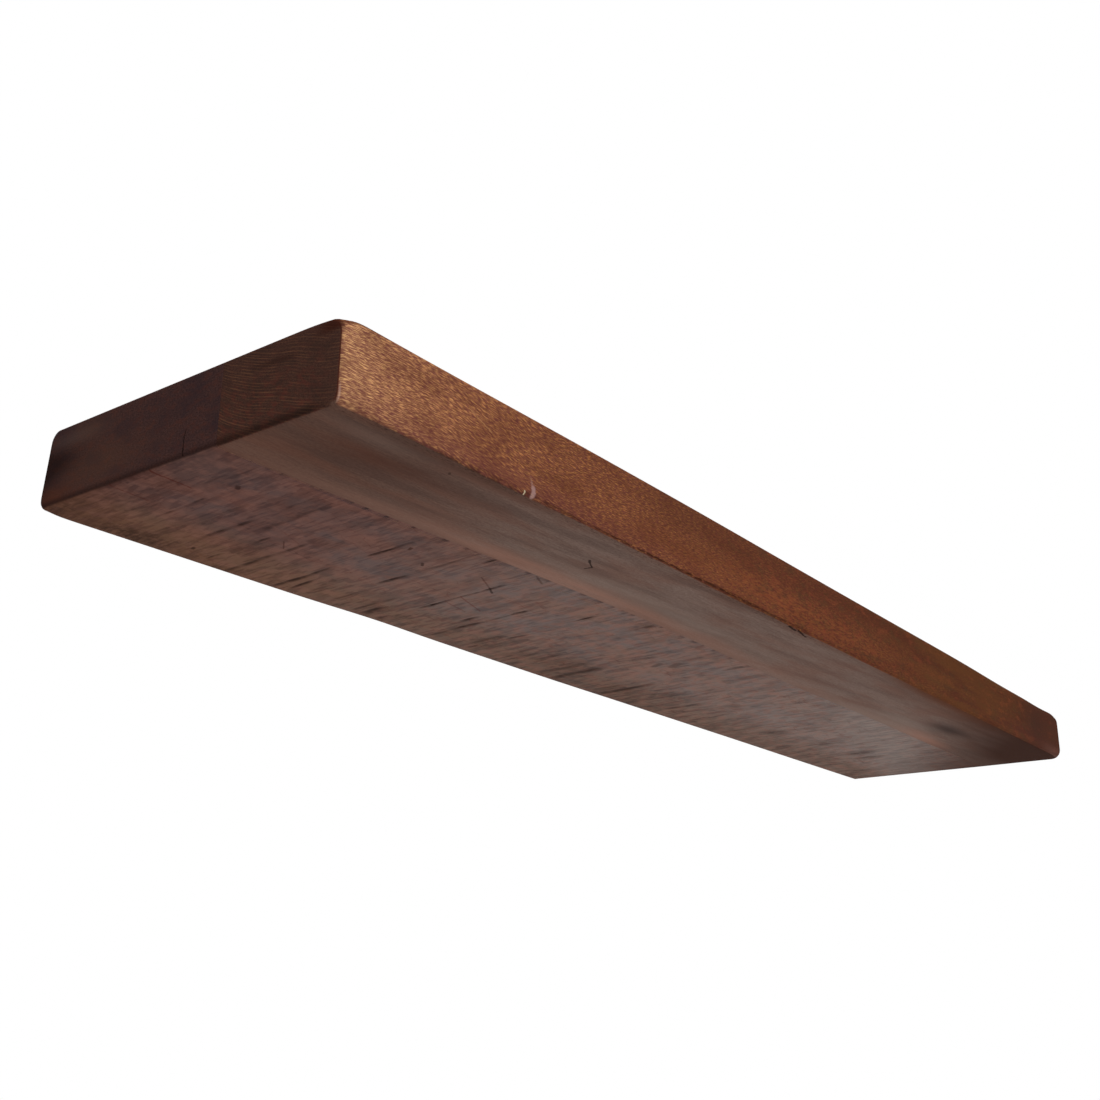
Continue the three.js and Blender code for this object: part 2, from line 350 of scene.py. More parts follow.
def loft(rings, capped=True):
    """Skins rings of points, each with as many points. Without caps the rings close up."""
    sides = len(rings[0])
    last = len(rings) - 1 if capped else len(rings)
    faces = []
    for ring in range(last):
        here = ring * sides
        there = (ring + 1) % len(rings) * sides
        for side in range(sides):
            after = (side + 1) % sides
            faces.append((here + side, there + side, there + after, here + after))
    if capped:
        faces.append(tuple(range(sides)))
        faces.append(tuple(range(last * sides, (last + 1) * sides)))
    return [tuple(point) for ring in rings for point in ring], faces


def circle(radius, y, sides=ROUND_SIDES):
    turns = [2 * math.pi * side / sides for side in range(sides)]
    return [(radius * math.cos(turn), y, radius * math.sin(turn)) for turn in turns]


def turned(profile):
    """A solid turned about the Y axis from points of radius and y."""
    return loft([circle(radius, y) for radius, y in profile])


def rounded_outline(width, height, radius, y):
    """A rectangle in the XZ plane with round corners, about the Y axis."""
    ring = []
    corners = [(1, 1), (-1, 1), (-1, -1), (1, -1)]
    for corner, (side_x, side_z) in enumerate(corners):
        for step in range(CORNER_STEPS + 1):
            turn = (corner + step / CORNER_STEPS) * math.pi / 2
            x = side_x * (width / 2 - radius) + radius * math.cos(turn)
            z = side_z * (height / 2 - radius) + radius * math.sin(turn)
            ring.append((x, y, z))
    return ring


def prism(width, height, radius, ys):
    return loft([rounded_outline(width, height, radius, y) for y in ys])


def rimmed(rim, start_y, end_y):
    """Stations of y and inset along a bar, with the rim's depths and insets at both ends."""
    inward = 1 if end_y > start_y else -1
    stations = [(start_y + inward * depth, inset) for depth, inset in rim]
    return stations + [(end_y - inward * depth, inset) for depth, inset in reversed(rim)]


def places_mm(items, field):
    """Where a mesh's vertices or faces are, from the field that holds their places."""
    places = np.empty(len(items) * 3)
    items.foreach_get(field, places)
    return places.reshape(-1, 3) / MM


def bell(*offsets):
    """1 where every offset is 0, dying away past an offset of 1."""
    return np.exp(-sum(offset**2 for offset in offsets))


# Boards


def spread(start, end, step):
    return np.linspace(start, end, max(2, round(abs(end - start) / step) + 1))


def thinned(values, gap):
    """The values in order, without those that lie closer than the gap to the last."""
    kept = []
    for value in sorted(values):
        if not kept or value - kept[-1] >= gap:
            kept.append(value)
    return np.array(kept)


def lines_at_marks(front_limit):
    """Grid lines on the saw marks that start in front of a limit, and close beside them."""
    lines = []
    for x, start, _, half_width, _ in SAW_MARKS:
        if start < front_limit:
            middle = x + SLANT * (REAR_MIDDLE_Y - start)
            lines += [middle + side * half_width for side in GRID_LINES_AT_MARKS]
    return lines


def length_lines(extra):
    inner = END_LINES[-1] + LENGTH_STEP
    middle = thinned([*spread(LEFT_X + inner, RIGHT_X - inner, LENGTH_STEP), *extra], FINEST_STEP)
    return np.concatenate([LEFT_X + END_LINES, middle, (RIGHT_X - END_LINES)[::-1]])


def depth_lines(free_y):
    """Lines across the board, from its joint to its free side, in rising order."""
    side = 1 if free_y > JOINT_Y else -1
    inner = spread(
        JOINT_Y + side * (JOINT_LINES[-1] + DEPTH_STEP),
        free_y - side * (EDGE_LINES[-1] + DEPTH_STEP),
        DEPTH_STEP,
    )
    return np.sort(np.concatenate([JOINT_Y + side * JOINT_LINES, inner, free_y - side * EDGE_LINES]))


def height_lines():
    inner = HALF_THICKNESS - EDGE_LINES[-1] - MIDDLE_STEP
    low = EDGE_LINES - HALF_THICKNESS
    return np.concatenate([low, spread(-inner, inner, MIDDLE_STEP), -low[::-1]])


def box_skin(xs, ys, zs):
    """The skin of a box as a closed grid on the given lines."""
    on_skin = np.zeros((len(xs), len(ys), len(zs)), bool)
    on_skin[[0, -1]] = True
    on_skin[:, [0, -1]] = True
    on_skin[:, :, [0, -1]] = True
    number = np.full(on_skin.shape, -1)
    number[on_skin] = np.arange(on_skin.sum())
    points = np.stack(np.meshgrid(xs, ys, zs, indexing="ij"), -1)[on_skin]
    sheets = [number[0], number[-1], number[:, 0], number[:, -1], number[:, :, 0], number[:, :, -1]]
    faces = []
    for sheet in sheets:
        square = np.stack([sheet[:-1, :-1], sheet[1:, :-1], sheet[1:, 1:], sheet[:-1, 1:]], -1)
        faces.extend(map(tuple, square.reshape(-1, 4).tolist()))
    return points, faces


def arris_radius(x, wear):
    """How round a long arris is at each x."""
    radius = np.full_like(x, ARRIS)
    for middle, half_length, extra in wear:
        radius += extra * bell((x - middle) / half_length)
    return radius


def worn_section(across, down, radius):
    """Rounds a corner: both distances are measured in from its two sides."""
    into_across = np.clip(radius - across, 0, None)
    into_down = np.clip(radius - down, 0, None)
    longest = np.maximum(into_across, into_down)
    diagonal = np.maximum(np.hypot(into_across, into_down), FLUSH)
    pull = 1 - np.where(longest > 0, longest / diagonal, 1)
    return across + into_across * pull, down + into_down * pull


def shaped_board(points, free_y, low_radius, top_radius, relief):
    """Moves the points of a box's skin onto the worn shape of a board."""
    x, y, z = points.T
    across = np.abs(free_y - y)
    down = HALF_THICKNESS - np.abs(z)
    underside = (z < 0) & (down < FLUSH)
    radius = np.where(z < 0, low_radius, top_radius)
    sunk = relief(x, y) * np.clip((across - radius) / RELIEF_FADE, 0, 1) * underside
    across, down = worn_section(across, down, radius)
    from_end = np.minimum(x - LEFT_X, RIGHT_X - x)
    rise = np.clip(ARRIS - from_end, 0, None)
    inset = ARRIS - np.sqrt(ARRIS**2 - rise**2)
    across = inset + across * (1 - inset / abs(free_y - JOINT_Y))
    height = (HALF_THICKNESS - down) * (1 - inset / HALF_THICKNESS) - sunk
    chamfer = np.clip(JOINT_CHAMFER - np.abs(y - JOINT_Y), 0, None)
    height -= chamfer * (down < FLUSH)
    x = x - np.sign(x) * chamfer * (from_end < FLUSH)
    y = free_y + np.sign(JOINT_Y - free_y) * across
    z = np.sign(z) * height
    if free_y > JOINT_Y:
        y = y - back_lean(x, z) * np.clip(1 - (free_y - y) / BACK_LEAN_DEPTH, 0, 1)
    else:
        z = z - corner_drop(x, y) * np.clip(z / HALF_THICKNESS, 0, 1)
        x = x - end_lean(x, y, z)
    return np.stack([x, y, z], -1)


def back_lean(x, z):
    """How far the back face is worn in at its left end, more toward the top."""
    up = np.clip((z + HALF_THICKNESS) / (2 * HALF_THICKNESS), 0, 1)
    return BACK_LEAN * up * bell((x - LEFT_X) / BACK_LEAN_REACH)


def corner_drop(x, y):
    """How far the top falls at its front left corner."""
    return CORNER_DROP * bell((x - LEFT_X) / CORNER_DROP_LENGTH, (y - FRONT_Y) / CORNER_DROP_DEPTH)


def end_lean(x, y, z):
    """How far the front board's right end is worn in, more toward the front and below."""
    near_end = np.clip(1 - (RIGHT_X - x) / END_LEAN_REACH, 0, 1)
    down = np.clip((HALF_THICKNESS - z) / (2 * HALF_THICKNESS), 0, 1)
    forward = np.clip((JOINT_Y - y) / (JOINT_Y - FRONT_Y), 0, 1)
    return END_LEAN * near_end * down * forward


def taper(value, start, end, fade):
    """1 between start and end, falling to 0 over the fade at both."""
    return np.clip((value - start) / fade, 0, 1) * np.clip((end - value) / fade, 0, 1)


def saw_mark_depth(x, y, marks, widen=1.0):
    """How deep the marks go: each has a core, and a faint tail past both its ends."""
    depth = np.zeros_like(x)
    for mark_x, start, end, narrow, mark_depth in marks:
        half_width = narrow * widen
        near = np.abs(x - mark_x) < 4 * half_width + 4
        wander = 0.4 * np.sin(y[near] / 9 + mark_x) + SLANT * (y[near] - start)
        across = bell((x[near] - mark_x - wander) / half_width)
        unevenness = 0.84 + 0.16 * np.sin(y[near] / 4.3 + 2 * mark_x)
        core = unevenness * taper(y[near], start, end, min(MARK_FADE, (end - start) / 2))
        tail = taper(y[near], start - MARK_TAIL, end + MARK_TAIL, MARK_TAIL)
        depth[near] += mark_depth * across * (0.76 * core + 0.24 * tail)
    return depth


def stain_strength(x, y):
    strength = np.zeros_like(x)
    for stain_x, stain_y, half_x, half_y, share in STAINS:
        strength = np.maximum(strength, share * bell((x - stain_x) / half_x, (y - stain_y) / half_y))
    return strength


def fine_saw_marks():
    """Many shallow marks, closer together toward the left end and the back."""
    chance = np.random.default_rng(SEED)
    length = RIGHT_X - LEFT_X - 2 * FINE_MARK_MARGIN
    depth = JOINT_Y + FINE_MARK_JOINT_MARGIN
    marks = []
    for _ in range(FINE_MARK_COUNT):
        x = LEFT_X + FINE_MARK_MARGIN + length * chance.random() ** 1.4
        y = depth - depth * chance.random() ** 0.7
        reach = chance.uniform(10, 34) / 2
        end = min(y + reach, FINE_MARK_BACK_LIMIT)
        marks.append((x, y - reach, end, FINE_MARK_HALF_WIDTH, chance.uniform(0.03, 0.10)))
    return marks


FINE_SAW_MARKS = fine_saw_marks()


def rough_relief(x, y):
    """How far the sawn underside lies below its highest plane."""
    ridges = 0.035 + 0.035 * np.sin(x / 2.9 + 0.6 * np.sin(y / 17) + 1.7 * np.sin(x / 31))
    cupped = 0.12 * np.sin(x / 57 + y / 90) ** 2
    deep = saw_mark_depth(x, y, SAW_MARKS) + saw_mark_depth(x, y, FINE_SAW_MARKS)
    return (ridges + cupped + deep) * np.clip((y - JOINT_Y) / JOINT_FADE, 0, 1)


def planed_relief(x, y):
    """The smooth underside's slight hollows, left by hand sanding."""
    return 0.05 * np.sin(x / 83 + 0.4) ** 2 + 0.04 * np.sin(y / 21 + x / 140) ** 2


def pits(radius, bottom_y):
    """Round pits in the back of the boards, one at each rod."""
    pit = turned([(radius, BACK_Y + OVERRUN), (radius, bottom_y)])
    return placed(pit, *map(middle_x, RODS))


def bore_shapes():
    return pits(ROD_RADIUS + BORE_CLEARANCE, ROD_TIP_Y - BORE_END_CLEARANCE)


def weld_pocket_shapes():
    return pits(WELD_RADIUS + WELD_POCKET_CLEARANCE, WELD_FRONT_Y - WELD_POCKET_CLEARANCE)


def mortise_shapes():
    width = TENON_WIDTH + 2 * MORTISE_CLEARANCE
    height = TENON_HEIGHT + 2 * MORTISE_CLEARANCE
    reach = TENON_LENGTH / 2 + MORTISE_END_CLEARANCE
    mortise = prism(width, height, height / 2, (JOINT_Y + reach, JOINT_Y - reach))
    return placed(mortise, *map(middle_x, TENONS))


def recess_shape():
    width = PLATE_WIDTH + 2 * RECESS_CLEARANCE
    height = PLATE_HEIGHT + 2 * RECESS_CLEARANCE
    depths = (BACK_Y + OVERRUN, PLATE_FRONT_Y - RECESS_DEPTH_CLEARANCE)
    return prism(width, height, PLATE_CORNER + RECESS_CLEARANCE, depths)


def paint_cut_faces(mesh):
    """Gives the second material to what was cut after the boards were stained."""
    x, y, z = places_mm(mesh.polygons, "center").T
    inside = (np.abs(z) < HALF_THICKNESS - CUT_MARGIN) & (np.abs(x) < PLATE_END_X + CUT_BEYOND_PLATE)
    inside &= (y > FRONT_Y + CUT_MARGIN) & (y < BACK_Y - CUT_MARGIN_BACK)
    joint = np.abs(y - JOINT_Y) < CUT_MARGIN_JOINT
    mesh.polygons.foreach_set("material_index", (inside | joint).astype(np.int32))


def board(name, free_y, low_wear, top_wear, relief, cutters):
    lines = length_lines(lines_at_marks(max(free_y, JOINT_Y)))
    points, faces = box_skin(lines, depth_lines(free_y), height_lines())
    x, y, z = points.T
    inside = np.minimum(x - LEFT_X - SHEAR_START, RIGHT_X - SHEAR_START - x)
    x = x + SLANT * (y - REAR_MIDDLE_Y) * np.clip(inside / SHEAR_FADE, 0, 1)
    points = np.stack([x, y, z], -1)
    shape = shaped_board(points, free_y, arris_radius(x, low_wear), arris_radius(x, top_wear), relief)
    piece = solid(name, (shape, faces), cutters)
    x, y, z = places_mm(piece.data.vertices, "co").T
    low = z < 1 - HALF_THICKNESS
    for attribute, values in [
        ("saw_mark", saw_mark_depth(x, y, SAW_MARKS, MARK_STAIN)),
        ("stain", stain_strength(x, y)),
    ]:
        layer = piece.data.attributes.new(attribute, "FLOAT", "POINT")
        layer.data.foreach_set("value", np.asarray(values * low, np.float32))
    return piece


def front_board():
    cutters = [bore_shapes(), mortise_shapes()]
    return board("figured_front_board", FRONT_Y, LOW_FRONT_WEAR, TOP_FRONT_WEAR, planed_relief, cutters)


def rear_board():
    cutters = [recess_shape(), weld_pocket_shapes(), bore_shapes(), mortise_shapes()]
    return board("sawn_rear_board", BACK_Y, LOW_BACK_WEAR, TOP_BACK_WEAR, rough_relief, cutters)


# Loose tenons


def fluted_outline(width, inset, y):
    """A stadium in the XZ plane with shallow glue flutes on both flat sides."""
    ring = []
    radius = TENON_HEIGHT / 2 - inset
    flat = width / 2 - TENON_HEIGHT / 2
    for step in range(FLUTE_STEPS):
        x = flat - 2 * flat * step / FLUTE_STEPS
        flute = FLUTE_DEPTH * max(0.0, math.cos(math.pi * 2 * FLUTES * x / (2 * flat)))
        ring.append((x, y, radius - flute))
    for step in range(TENON_END_STEPS):
        turn = math.pi / 2 + math.pi * step / TENON_END_STEPS
        ring.append((-flat + radius * math.cos(turn), y, radius * math.sin(turn)))
    return ring + [(-x, y, -z) for x, y, z in ring]


def tenon(name, x):
    stations = rimmed(TENON_RIM, TENON_FRONT_Y, TENON_BACK_Y)
    rings = [fluted_outline(TENON_WIDTH - 2 * inset, inset, y) for y, inset in stations]
    return solid(name, placed(loft(rings), x))


# Bracket


def plate_hole(wide_stations, radius):
    """A hole through the plate, with a small break where it opens at the back."""
    return turned([
        *wide_stations,
        (radius, PLATE_BACK_Y - HOLE_BREAK),
        (radius + HOLE_BREAK, PLATE_BACK_Y),
        (radius + HOLE_BREAK, PLATE_BACK_Y + OVERRUN),
    ])


def screw_hole_shape():
    wide = SCREW_HEAD_RADIUS + SCREW_CLEARANCE
    narrow = SCREW_SHANK + SCREW_CLEARANCE
    countersink = [
        (wide, PLATE_FRONT_Y - OVERRUN),
        (wide, PLATE_FRONT_Y + SCREW_RIM),
        (narrow, PLATE_FRONT_Y + SCREW_HEAD_HEIGHT),
    ]
    return plate_hole(countersink, narrow)


def rod_hole_shape():
    radius = ROD_RADIUS + WELD_FIT_CLEARANCE
    return plate_hole([(radius, PLATE_FRONT_Y - OVERRUN)], radius)


def plate():
    turns = [math.pi / 2 * step / PLATE_EDGE_STEPS for step in range(PLATE_EDGE_STEPS + 1)]
    rim = [(PLATE_EDGE * (1 - math.cos(turn)), PLATE_EDGE * (1 - math.sin(turn))) for turn in turns]
    rings = [
        rounded_outline(PLATE_WIDTH - 2 * inset, PLATE_HEIGHT - 2 * inset, PLATE_CORNER - inset, y)
        for y, inset in rimmed(rim, PLATE_BACK_Y, PLATE_FRONT_Y)
    ]
    rod_holes = placed(rod_hole_shape(), *map(middle_x, RODS))
    screw_holes = placed(screw_hole_shape(), *map(middle_x, SCREWS))
    return solid("mill_scale_plate", loft(rings), [rod_holes, screw_holes], PLATE_SHARP_DEGREES)


def rod(name, x):
    """A round bar with a filed tip. Its sides are very slightly uneven, as rolled bar is."""
    filed = ROD_RADIUS - ROD_CHAMFER
    shoulder_y = ROD_TIP_Y + ROD_CHAMFER
    profile = [
        (ROD_FACE_CENTRE, ROD_TIP_Y),
        (filed - 0.15, ROD_TIP_Y),
        (filed, ROD_TIP_Y + 0.1),
        (ROD_RADIUS - 0.3, shoulder_y - 0.3),
        (ROD_RADIUS - 0.06, shoulder_y),
    ]
    for y in spread(shoulder_y + 0.6, ROD_SEAT_Y - 0.6, ROD_STEP):
        unevenness = ROD_UNEVENNESS * math.sin(y / 11 + x)
        profile.append((ROD_RADIUS - ROD_UNEVENNESS + unevenness, y))
    profile += [
        (ROD_RADIUS - 0.12, ROD_SEAT_Y - 0.12),
        (ROD_RADIUS - 0.5, ROD_SEAT_Y),
        (ROD_FACE_CENTRE, ROD_SEAT_Y),
    ]
    return solid(name, placed(turned(profile), x))


def weld(name, x, turn_start):
    """A fillet weld round a rod, in overlapping ripples."""
    inner = ROD_RADIUS + WELD_FIT_CLEARANCE
    leg = WELD_RADIUS - inner
    count = WELD_RIPPLES * WELD_STEPS
    rings = []
    for step in range(count):
        turn = 2 * math.pi * (step / count) + turn_start
        ripple = step % WELD_STEPS / WELD_STEPS
        swell = 0.9 + 0.1 * math.sqrt(1 - (2 * ripple - 1) ** 2)
        swell *= 1 - 0.04 * (1 + math.sin(5 * turn))
        ring = []
        for outward, forward in WELD_SECTION:
            radius = inner + leg * outward * swell
            y = PLATE_FRONT_Y - leg * forward * swell
            ring.append((radius * math.cos(turn), y, radius * math.sin(turn)))
        rings.append(ring)
    return solid(name, placed(loft(rings, capped=False), x))


def screw_thread_radius(from_head, turn):
    """The radius of the shank, with a thread that runs in below the head."""
    phase = (from_head / THREAD_PITCH - turn / (2 * math.pi)) % 1
    ridge = max(0.0, 1 - abs(phase - 0.5) / 0.24) ** 0.8
    core = SCREW_SHANK - THREAD_DEPTH
    start = min(1.0, max(0.0, (from_head - THREAD_START) / THREAD_RUN_IN))
    point = min(1.0, (SCREW_LENGTH - from_head) / SCREW_POINT) ** 0.8
    smooth_shank = (1 - start) * (SCREW_SHANK - SMOOTH_SHANK_INSET - core)
    radius = point * (core + smooth_shank + ridge * start * THREAD_DEPTH * (0.35 + 0.65 * point))
    return max(SCREW_TIP_RADIUS, radius)


def cross_outline(y, length, width):
    """A cross in the XZ plane: three corners of one arm, turned a quarter at a time."""
    corners = [(length, width), (width, width), (width, length)]
    ring = []
    for _ in range(4):
        ring += [(x, y, z) for x, z in corners]
        corners = [(-z, x) for x, z in corners]
    return ring


def cross_recess():
    """A tapered cross, as the tip of a cross-head driver leaves."""
    bottom = PLATE_FRONT_Y + CROSS_DEPTH
    return loft([
        cross_outline(PLATE_FRONT_Y - OVERRUN, CROSS_LENGTH + 0.35, CROSS_WIDTH + 0.1),
        cross_outline(PLATE_FRONT_Y, CROSS_LENGTH, CROSS_WIDTH),
        cross_outline(bottom - 0.5, 1.1, CROSS_WIDTH * 0.7),
        cross_outline(bottom, 0.7, CROSS_WIDTH * 0.6),
    ])


def screw(name, x, turn_start):
    head = [
        (SCREW_HEAD_RADIUS - 1.2, 0),
        (SCREW_HEAD_RADIUS - 0.25, 0),
        (SCREW_HEAD_RADIUS - 0.05, 0.12),
        (SCREW_HEAD_RADIUS, SCREW_RIM),
        (SCREW_SHANK + 0.5, SCREW_HEAD_HEIGHT - 0.1),
        (SCREW_SHANK, SCREW_HEAD_HEIGHT + 0.3),
    ]
    rings = [circle(radius, PLATE_FRONT_Y + depth, THREAD_SIDES) for radius, depth in head]
    turns = [2 * math.pi * side / THREAD_SIDES for side in range(THREAD_SIDES)]
    steps = int((SCREW_LENGTH - SCREW_HEAD_HEIGHT - SHANK_GAP) / THREAD_STEP)
    for depth in np.linspace(SCREW_HEAD_HEIGHT + SHANK_GAP, SCREW_LENGTH, steps):
        ring = []
        for turn in turns:
            radius = screw_thread_radius(depth, turn)
            ring.append((radius * math.cos(turn), PLATE_FRONT_Y + depth, radius * math.sin(turn)))
        rings.append(ring)
    piece = solid(name, loft(rings), [cross_recess()], SCREW_SHARP_DEGREES)
    turn = Matrix.Rotation(turn_start, 4, "Y")
    piece.data.transform(Matrix.Translation((x * MM, 0, 0)) @ turn)
    return piece


# Material making


class Field:
    """A number that varies over a surface. Sums written with it become math nodes."""

    def __init__(self, tree, socket):
        self.tree = tree
        self.socket = socket

    def math(self, operation, *others):
        node = self.tree.nodes.new("ShaderNodeMath")
        node.operation = operation
        for socket, value in zip(node.inputs, (self, *others)):
            feed(self.tree, socket, value)
        return Field(self.tree, node.outputs[0])

    __add__ = __radd__ = partialmethod(math, "ADD")
    __mul__ = __rmul__ = partialmethod(math, "MULTIPLY")
    __sub__ = partialmethod(math, "SUBTRACT")
    __truediv__ = partialmethod(math, "DIVIDE")
    __pow__ = partialmethod(math, "POWER")
    __abs__ = partialmethod(math, "ABSOLUTE")
    exp = partialmethod(math, "EXPONENT")
    sin = partialmethod(math, "SINE")
    floor = partialmethod(math, "FLOOR")
    least = partialmethod(math, "MINIMUM")
    most = partialmethod(math, "MAXIMUM")

    def __rsub__(self, other):
        return self * -1 + other

    def __neg__(self):
        return self * -1

    def near(self, middle, half_width):
        """A bell that is 1 at the middle and dies away past the half width."""
        return (((self - middle) / half_width) ** 2 * -1).exp()

    def step(self, low, high):
        """0 at low and 1 at high, smooth between. Low may be the larger."""
        node = self.tree.nodes.new("ShaderNodeMapRange")
        node.interpolation_type = "SMOOTHSTEP"
        feed(self.tree, node.inputs["Value"], self)
        node.inputs["From Min"].default_value = low
        node.inputs["From Max"].default_value = high
        return Field(self.tree, node.outputs["Result"])


def feed(tree, socket, value):
    """Links a field or an output to a socket, or sets it to a number or a colour code."""
    if isinstance(value, str):
        value = tone(value)
    if isinstance(value, Field):
        value = value.socket
    if isinstance(value, bpy.types.NodeSocket):
        tree.links.new(value, socket)
    else:
        socket.default_value = value


def tone(code):
    """A colour written as #rrggbb, in the linear values that shaders take."""
    channels = [int(code[start : start + 2], 16) / 255 for start in (1, 3, 5)]
    linear = [c / 12.92 if c <= 0.04045 else ((c + 0.055) / 1.055) ** 2.4 for c in channels]
    return (*linear, 1.0)


class Finish:
    """One material, with a short call for each kind of node that the finishes use."""

    def __init__(self, name):
        self.material = bpy.data.materials.new(name)
        self.material.use_nodes = True
        self.tree = self.material.node_tree
        self.shader = self.tree.nodes["Principled BSDF"]
        self.coordinates = self.tree.nodes.new("ShaderNodeTexCoord")
        self.x, self.y, self.z = self.split(self.coordinates.outputs["Object"], 1 / MM)
        self.right, self.back, self.up = self.split(self.coordinates.outputs["Normal"])

    def split(self, vector, scale=1.0):
        node = self.tree.nodes.new("ShaderNodeSeparateXYZ")
        feed(self.tree, node.inputs[0], vector)
        fields = [Field(self.tree, output) for output in node.outputs]
        return fields if scale == 1 else [field * scale for field in fields]

    def place(self, x, y=0.0, z=0.0):
        node = self.tree.nodes.new("ShaderNodeCombineXYZ")
        for socket, value in zip(node.inputs, (x, y, z)):
            feed(self.tree, socket, value)
        return node.outputs[0]

    def noise(self, x, y=0.0, z=0.0, detail=2, roughness=0.5):
        """Soft noise from 0 to 1 around a half, with cells about one unit across."""
        node = self.tree.nodes.new("ShaderNodeTexNoise")
        feed(self.tree, node.inputs["Vector"], self.place(x, y, z))
        node.inputs["Scale"].default_value = 1
        node.inputs["Detail"].default_value = detail
        node.inputs["Roughness"].default_value = roughness
        return Field(self.tree, node.outputs["Fac"])

    def random(self, x, y=0.0, z=0.0):
        """A number from 0 to 1 that is different at each place."""
        node = self.tree.nodes.new("ShaderNodeTexWhiteNoise")
        node.noise_dimensions = "3D"
        feed(self.tree, node.inputs["Vector"], self.place(x, y, z))
        return Field(self.tree, node.outputs["Value"])

    def attribute(self, name):
        node = self.tree.nodes.new("ShaderNodeAttribute")
        node.attribute_name = name
        return Field(self.tree, node.outputs["Fac"])

    def mix(self, share, low, high, blend="MIX"):
        node = self.tree.nodes.new("ShaderNodeMix")
        node.data_type = "RGBA"
        node.blend_type = blend
        feed(self.tree, node.inputs[0], share)
        feed(self.tree, node.inputs[6], low)
        feed(self.tree, node.inputs[7], high)
        return node.outputs[2]

    def tween(self, share, low, high):
        """A number that runs from low to high as the share grows."""
        return share * (high - low) + low

    def strokes(self, across, along, *strokes):
        """Drawn marks, 1 on them and 0 beside: x and y of both ends, and the half width."""
        marks = []
        for start_x, start_y, end_x, end_y, half_width in strokes:
            run = (end_x - start_x, end_y - start_y)
            from_x = across - start_x
            from_y = along - start_y
            share = (from_x * run[0] + from_y * run[1]) / (run[0] ** 2 + run[1] ** 2)
            share = share.most(0.0).least(1.0)
            gap = ((from_x - share * run[0]) ** 2 + (from_y - share * run[1]) ** 2) ** 0.5
            marks.append(gap.step(half_width, half_width * 0.35))
        return reduce(Field.most, marks)

    def layers(self, colour, *layers):
        """A colour with others laid over it, each with its share, its code and its blend."""
        for share, over, *blend in layers:
            colour = self.mix(share, colour, over, *blend)
        return colour

    def finish(self, colour, roughness, height=None, metallic=0.0, specular=0.5):
        """Height is in millimetres."""
        feed(self.tree, self.shader.inputs["Base Color"], colour)
        feed(self.tree, self.shader.inputs["Roughness"], roughness)
        feed(self.tree, self.shader.inputs["Metallic"], metallic)
        self.shader.inputs["Specular IOR Level"].default_value = specular
        if height is not None:
            bump = self.tree.nodes.new("ShaderNodeBump")
            bump.inputs["Strength"].default_value = 1
            bump.inputs["Distance"].default_value = MM
            feed(self.tree, bump.inputs["Height"], height)
            feed(self.tree, self.shader.inputs["Normal"], bump.outputs[0])
        return self.material


# Wood finishes


def joint_line(f):
    """Where sanding of the smooth board stopped: a shallow bow in front of the joint."""
    bow = f.x.near(-140, 190) * 7 + f.x.near(190, 100) * 2
    return bow * -1 + JOINT_Y


def grain(f, length=14, strand=0.8):
    """Fine short lines along the board, on any face."""
    return f.noise(f.x / length, f.y / strand, f.z / strand, roughness=0.6)


def front_rings(f):
    """Growth rings of the front board: their height above the middle of the end face."""
    behind = -f.y + JOINT_Y
    hook = (5 - 0.12 * f.z) * (1 - (behind / -14).exp())
    drift = f.noise(f.x / 160, f.y / 26, f.z / 26, detail=1) * 3
    return f.z + 0.24 * behind + hook + drift


def ring_lines(f, height, low=0.6, high=1.0):
    uneven = f.noise(height / 4.5, detail=1) * 2.6
    wave = ((height + uneven) * (2 * math.pi / RING_PITCH)).sin() * 0.5 + 0.5
    return wave.step(low, high)


def front_figure(f):
    """Short silky dashes along the front face, which dip a little near the left end."""
    rise = 0.03 * f.x - 12 * f.x.step(-410, -300)
    wave = f.noise(f.x / 16, f.z / 9, 2.0, detail=1) * 1.5
    level = f.z - rise + wave
    broad = f.noise(f.x / 4.4, level / 0.5, f.y / 2, roughness=0.6)
    small = f.noise(f.x / 3.0 + 40, level / 0.3, f.y / 2, detail=1)
    return (broad * 0.55 + small * 0.45).step(0.44, 0.66), level


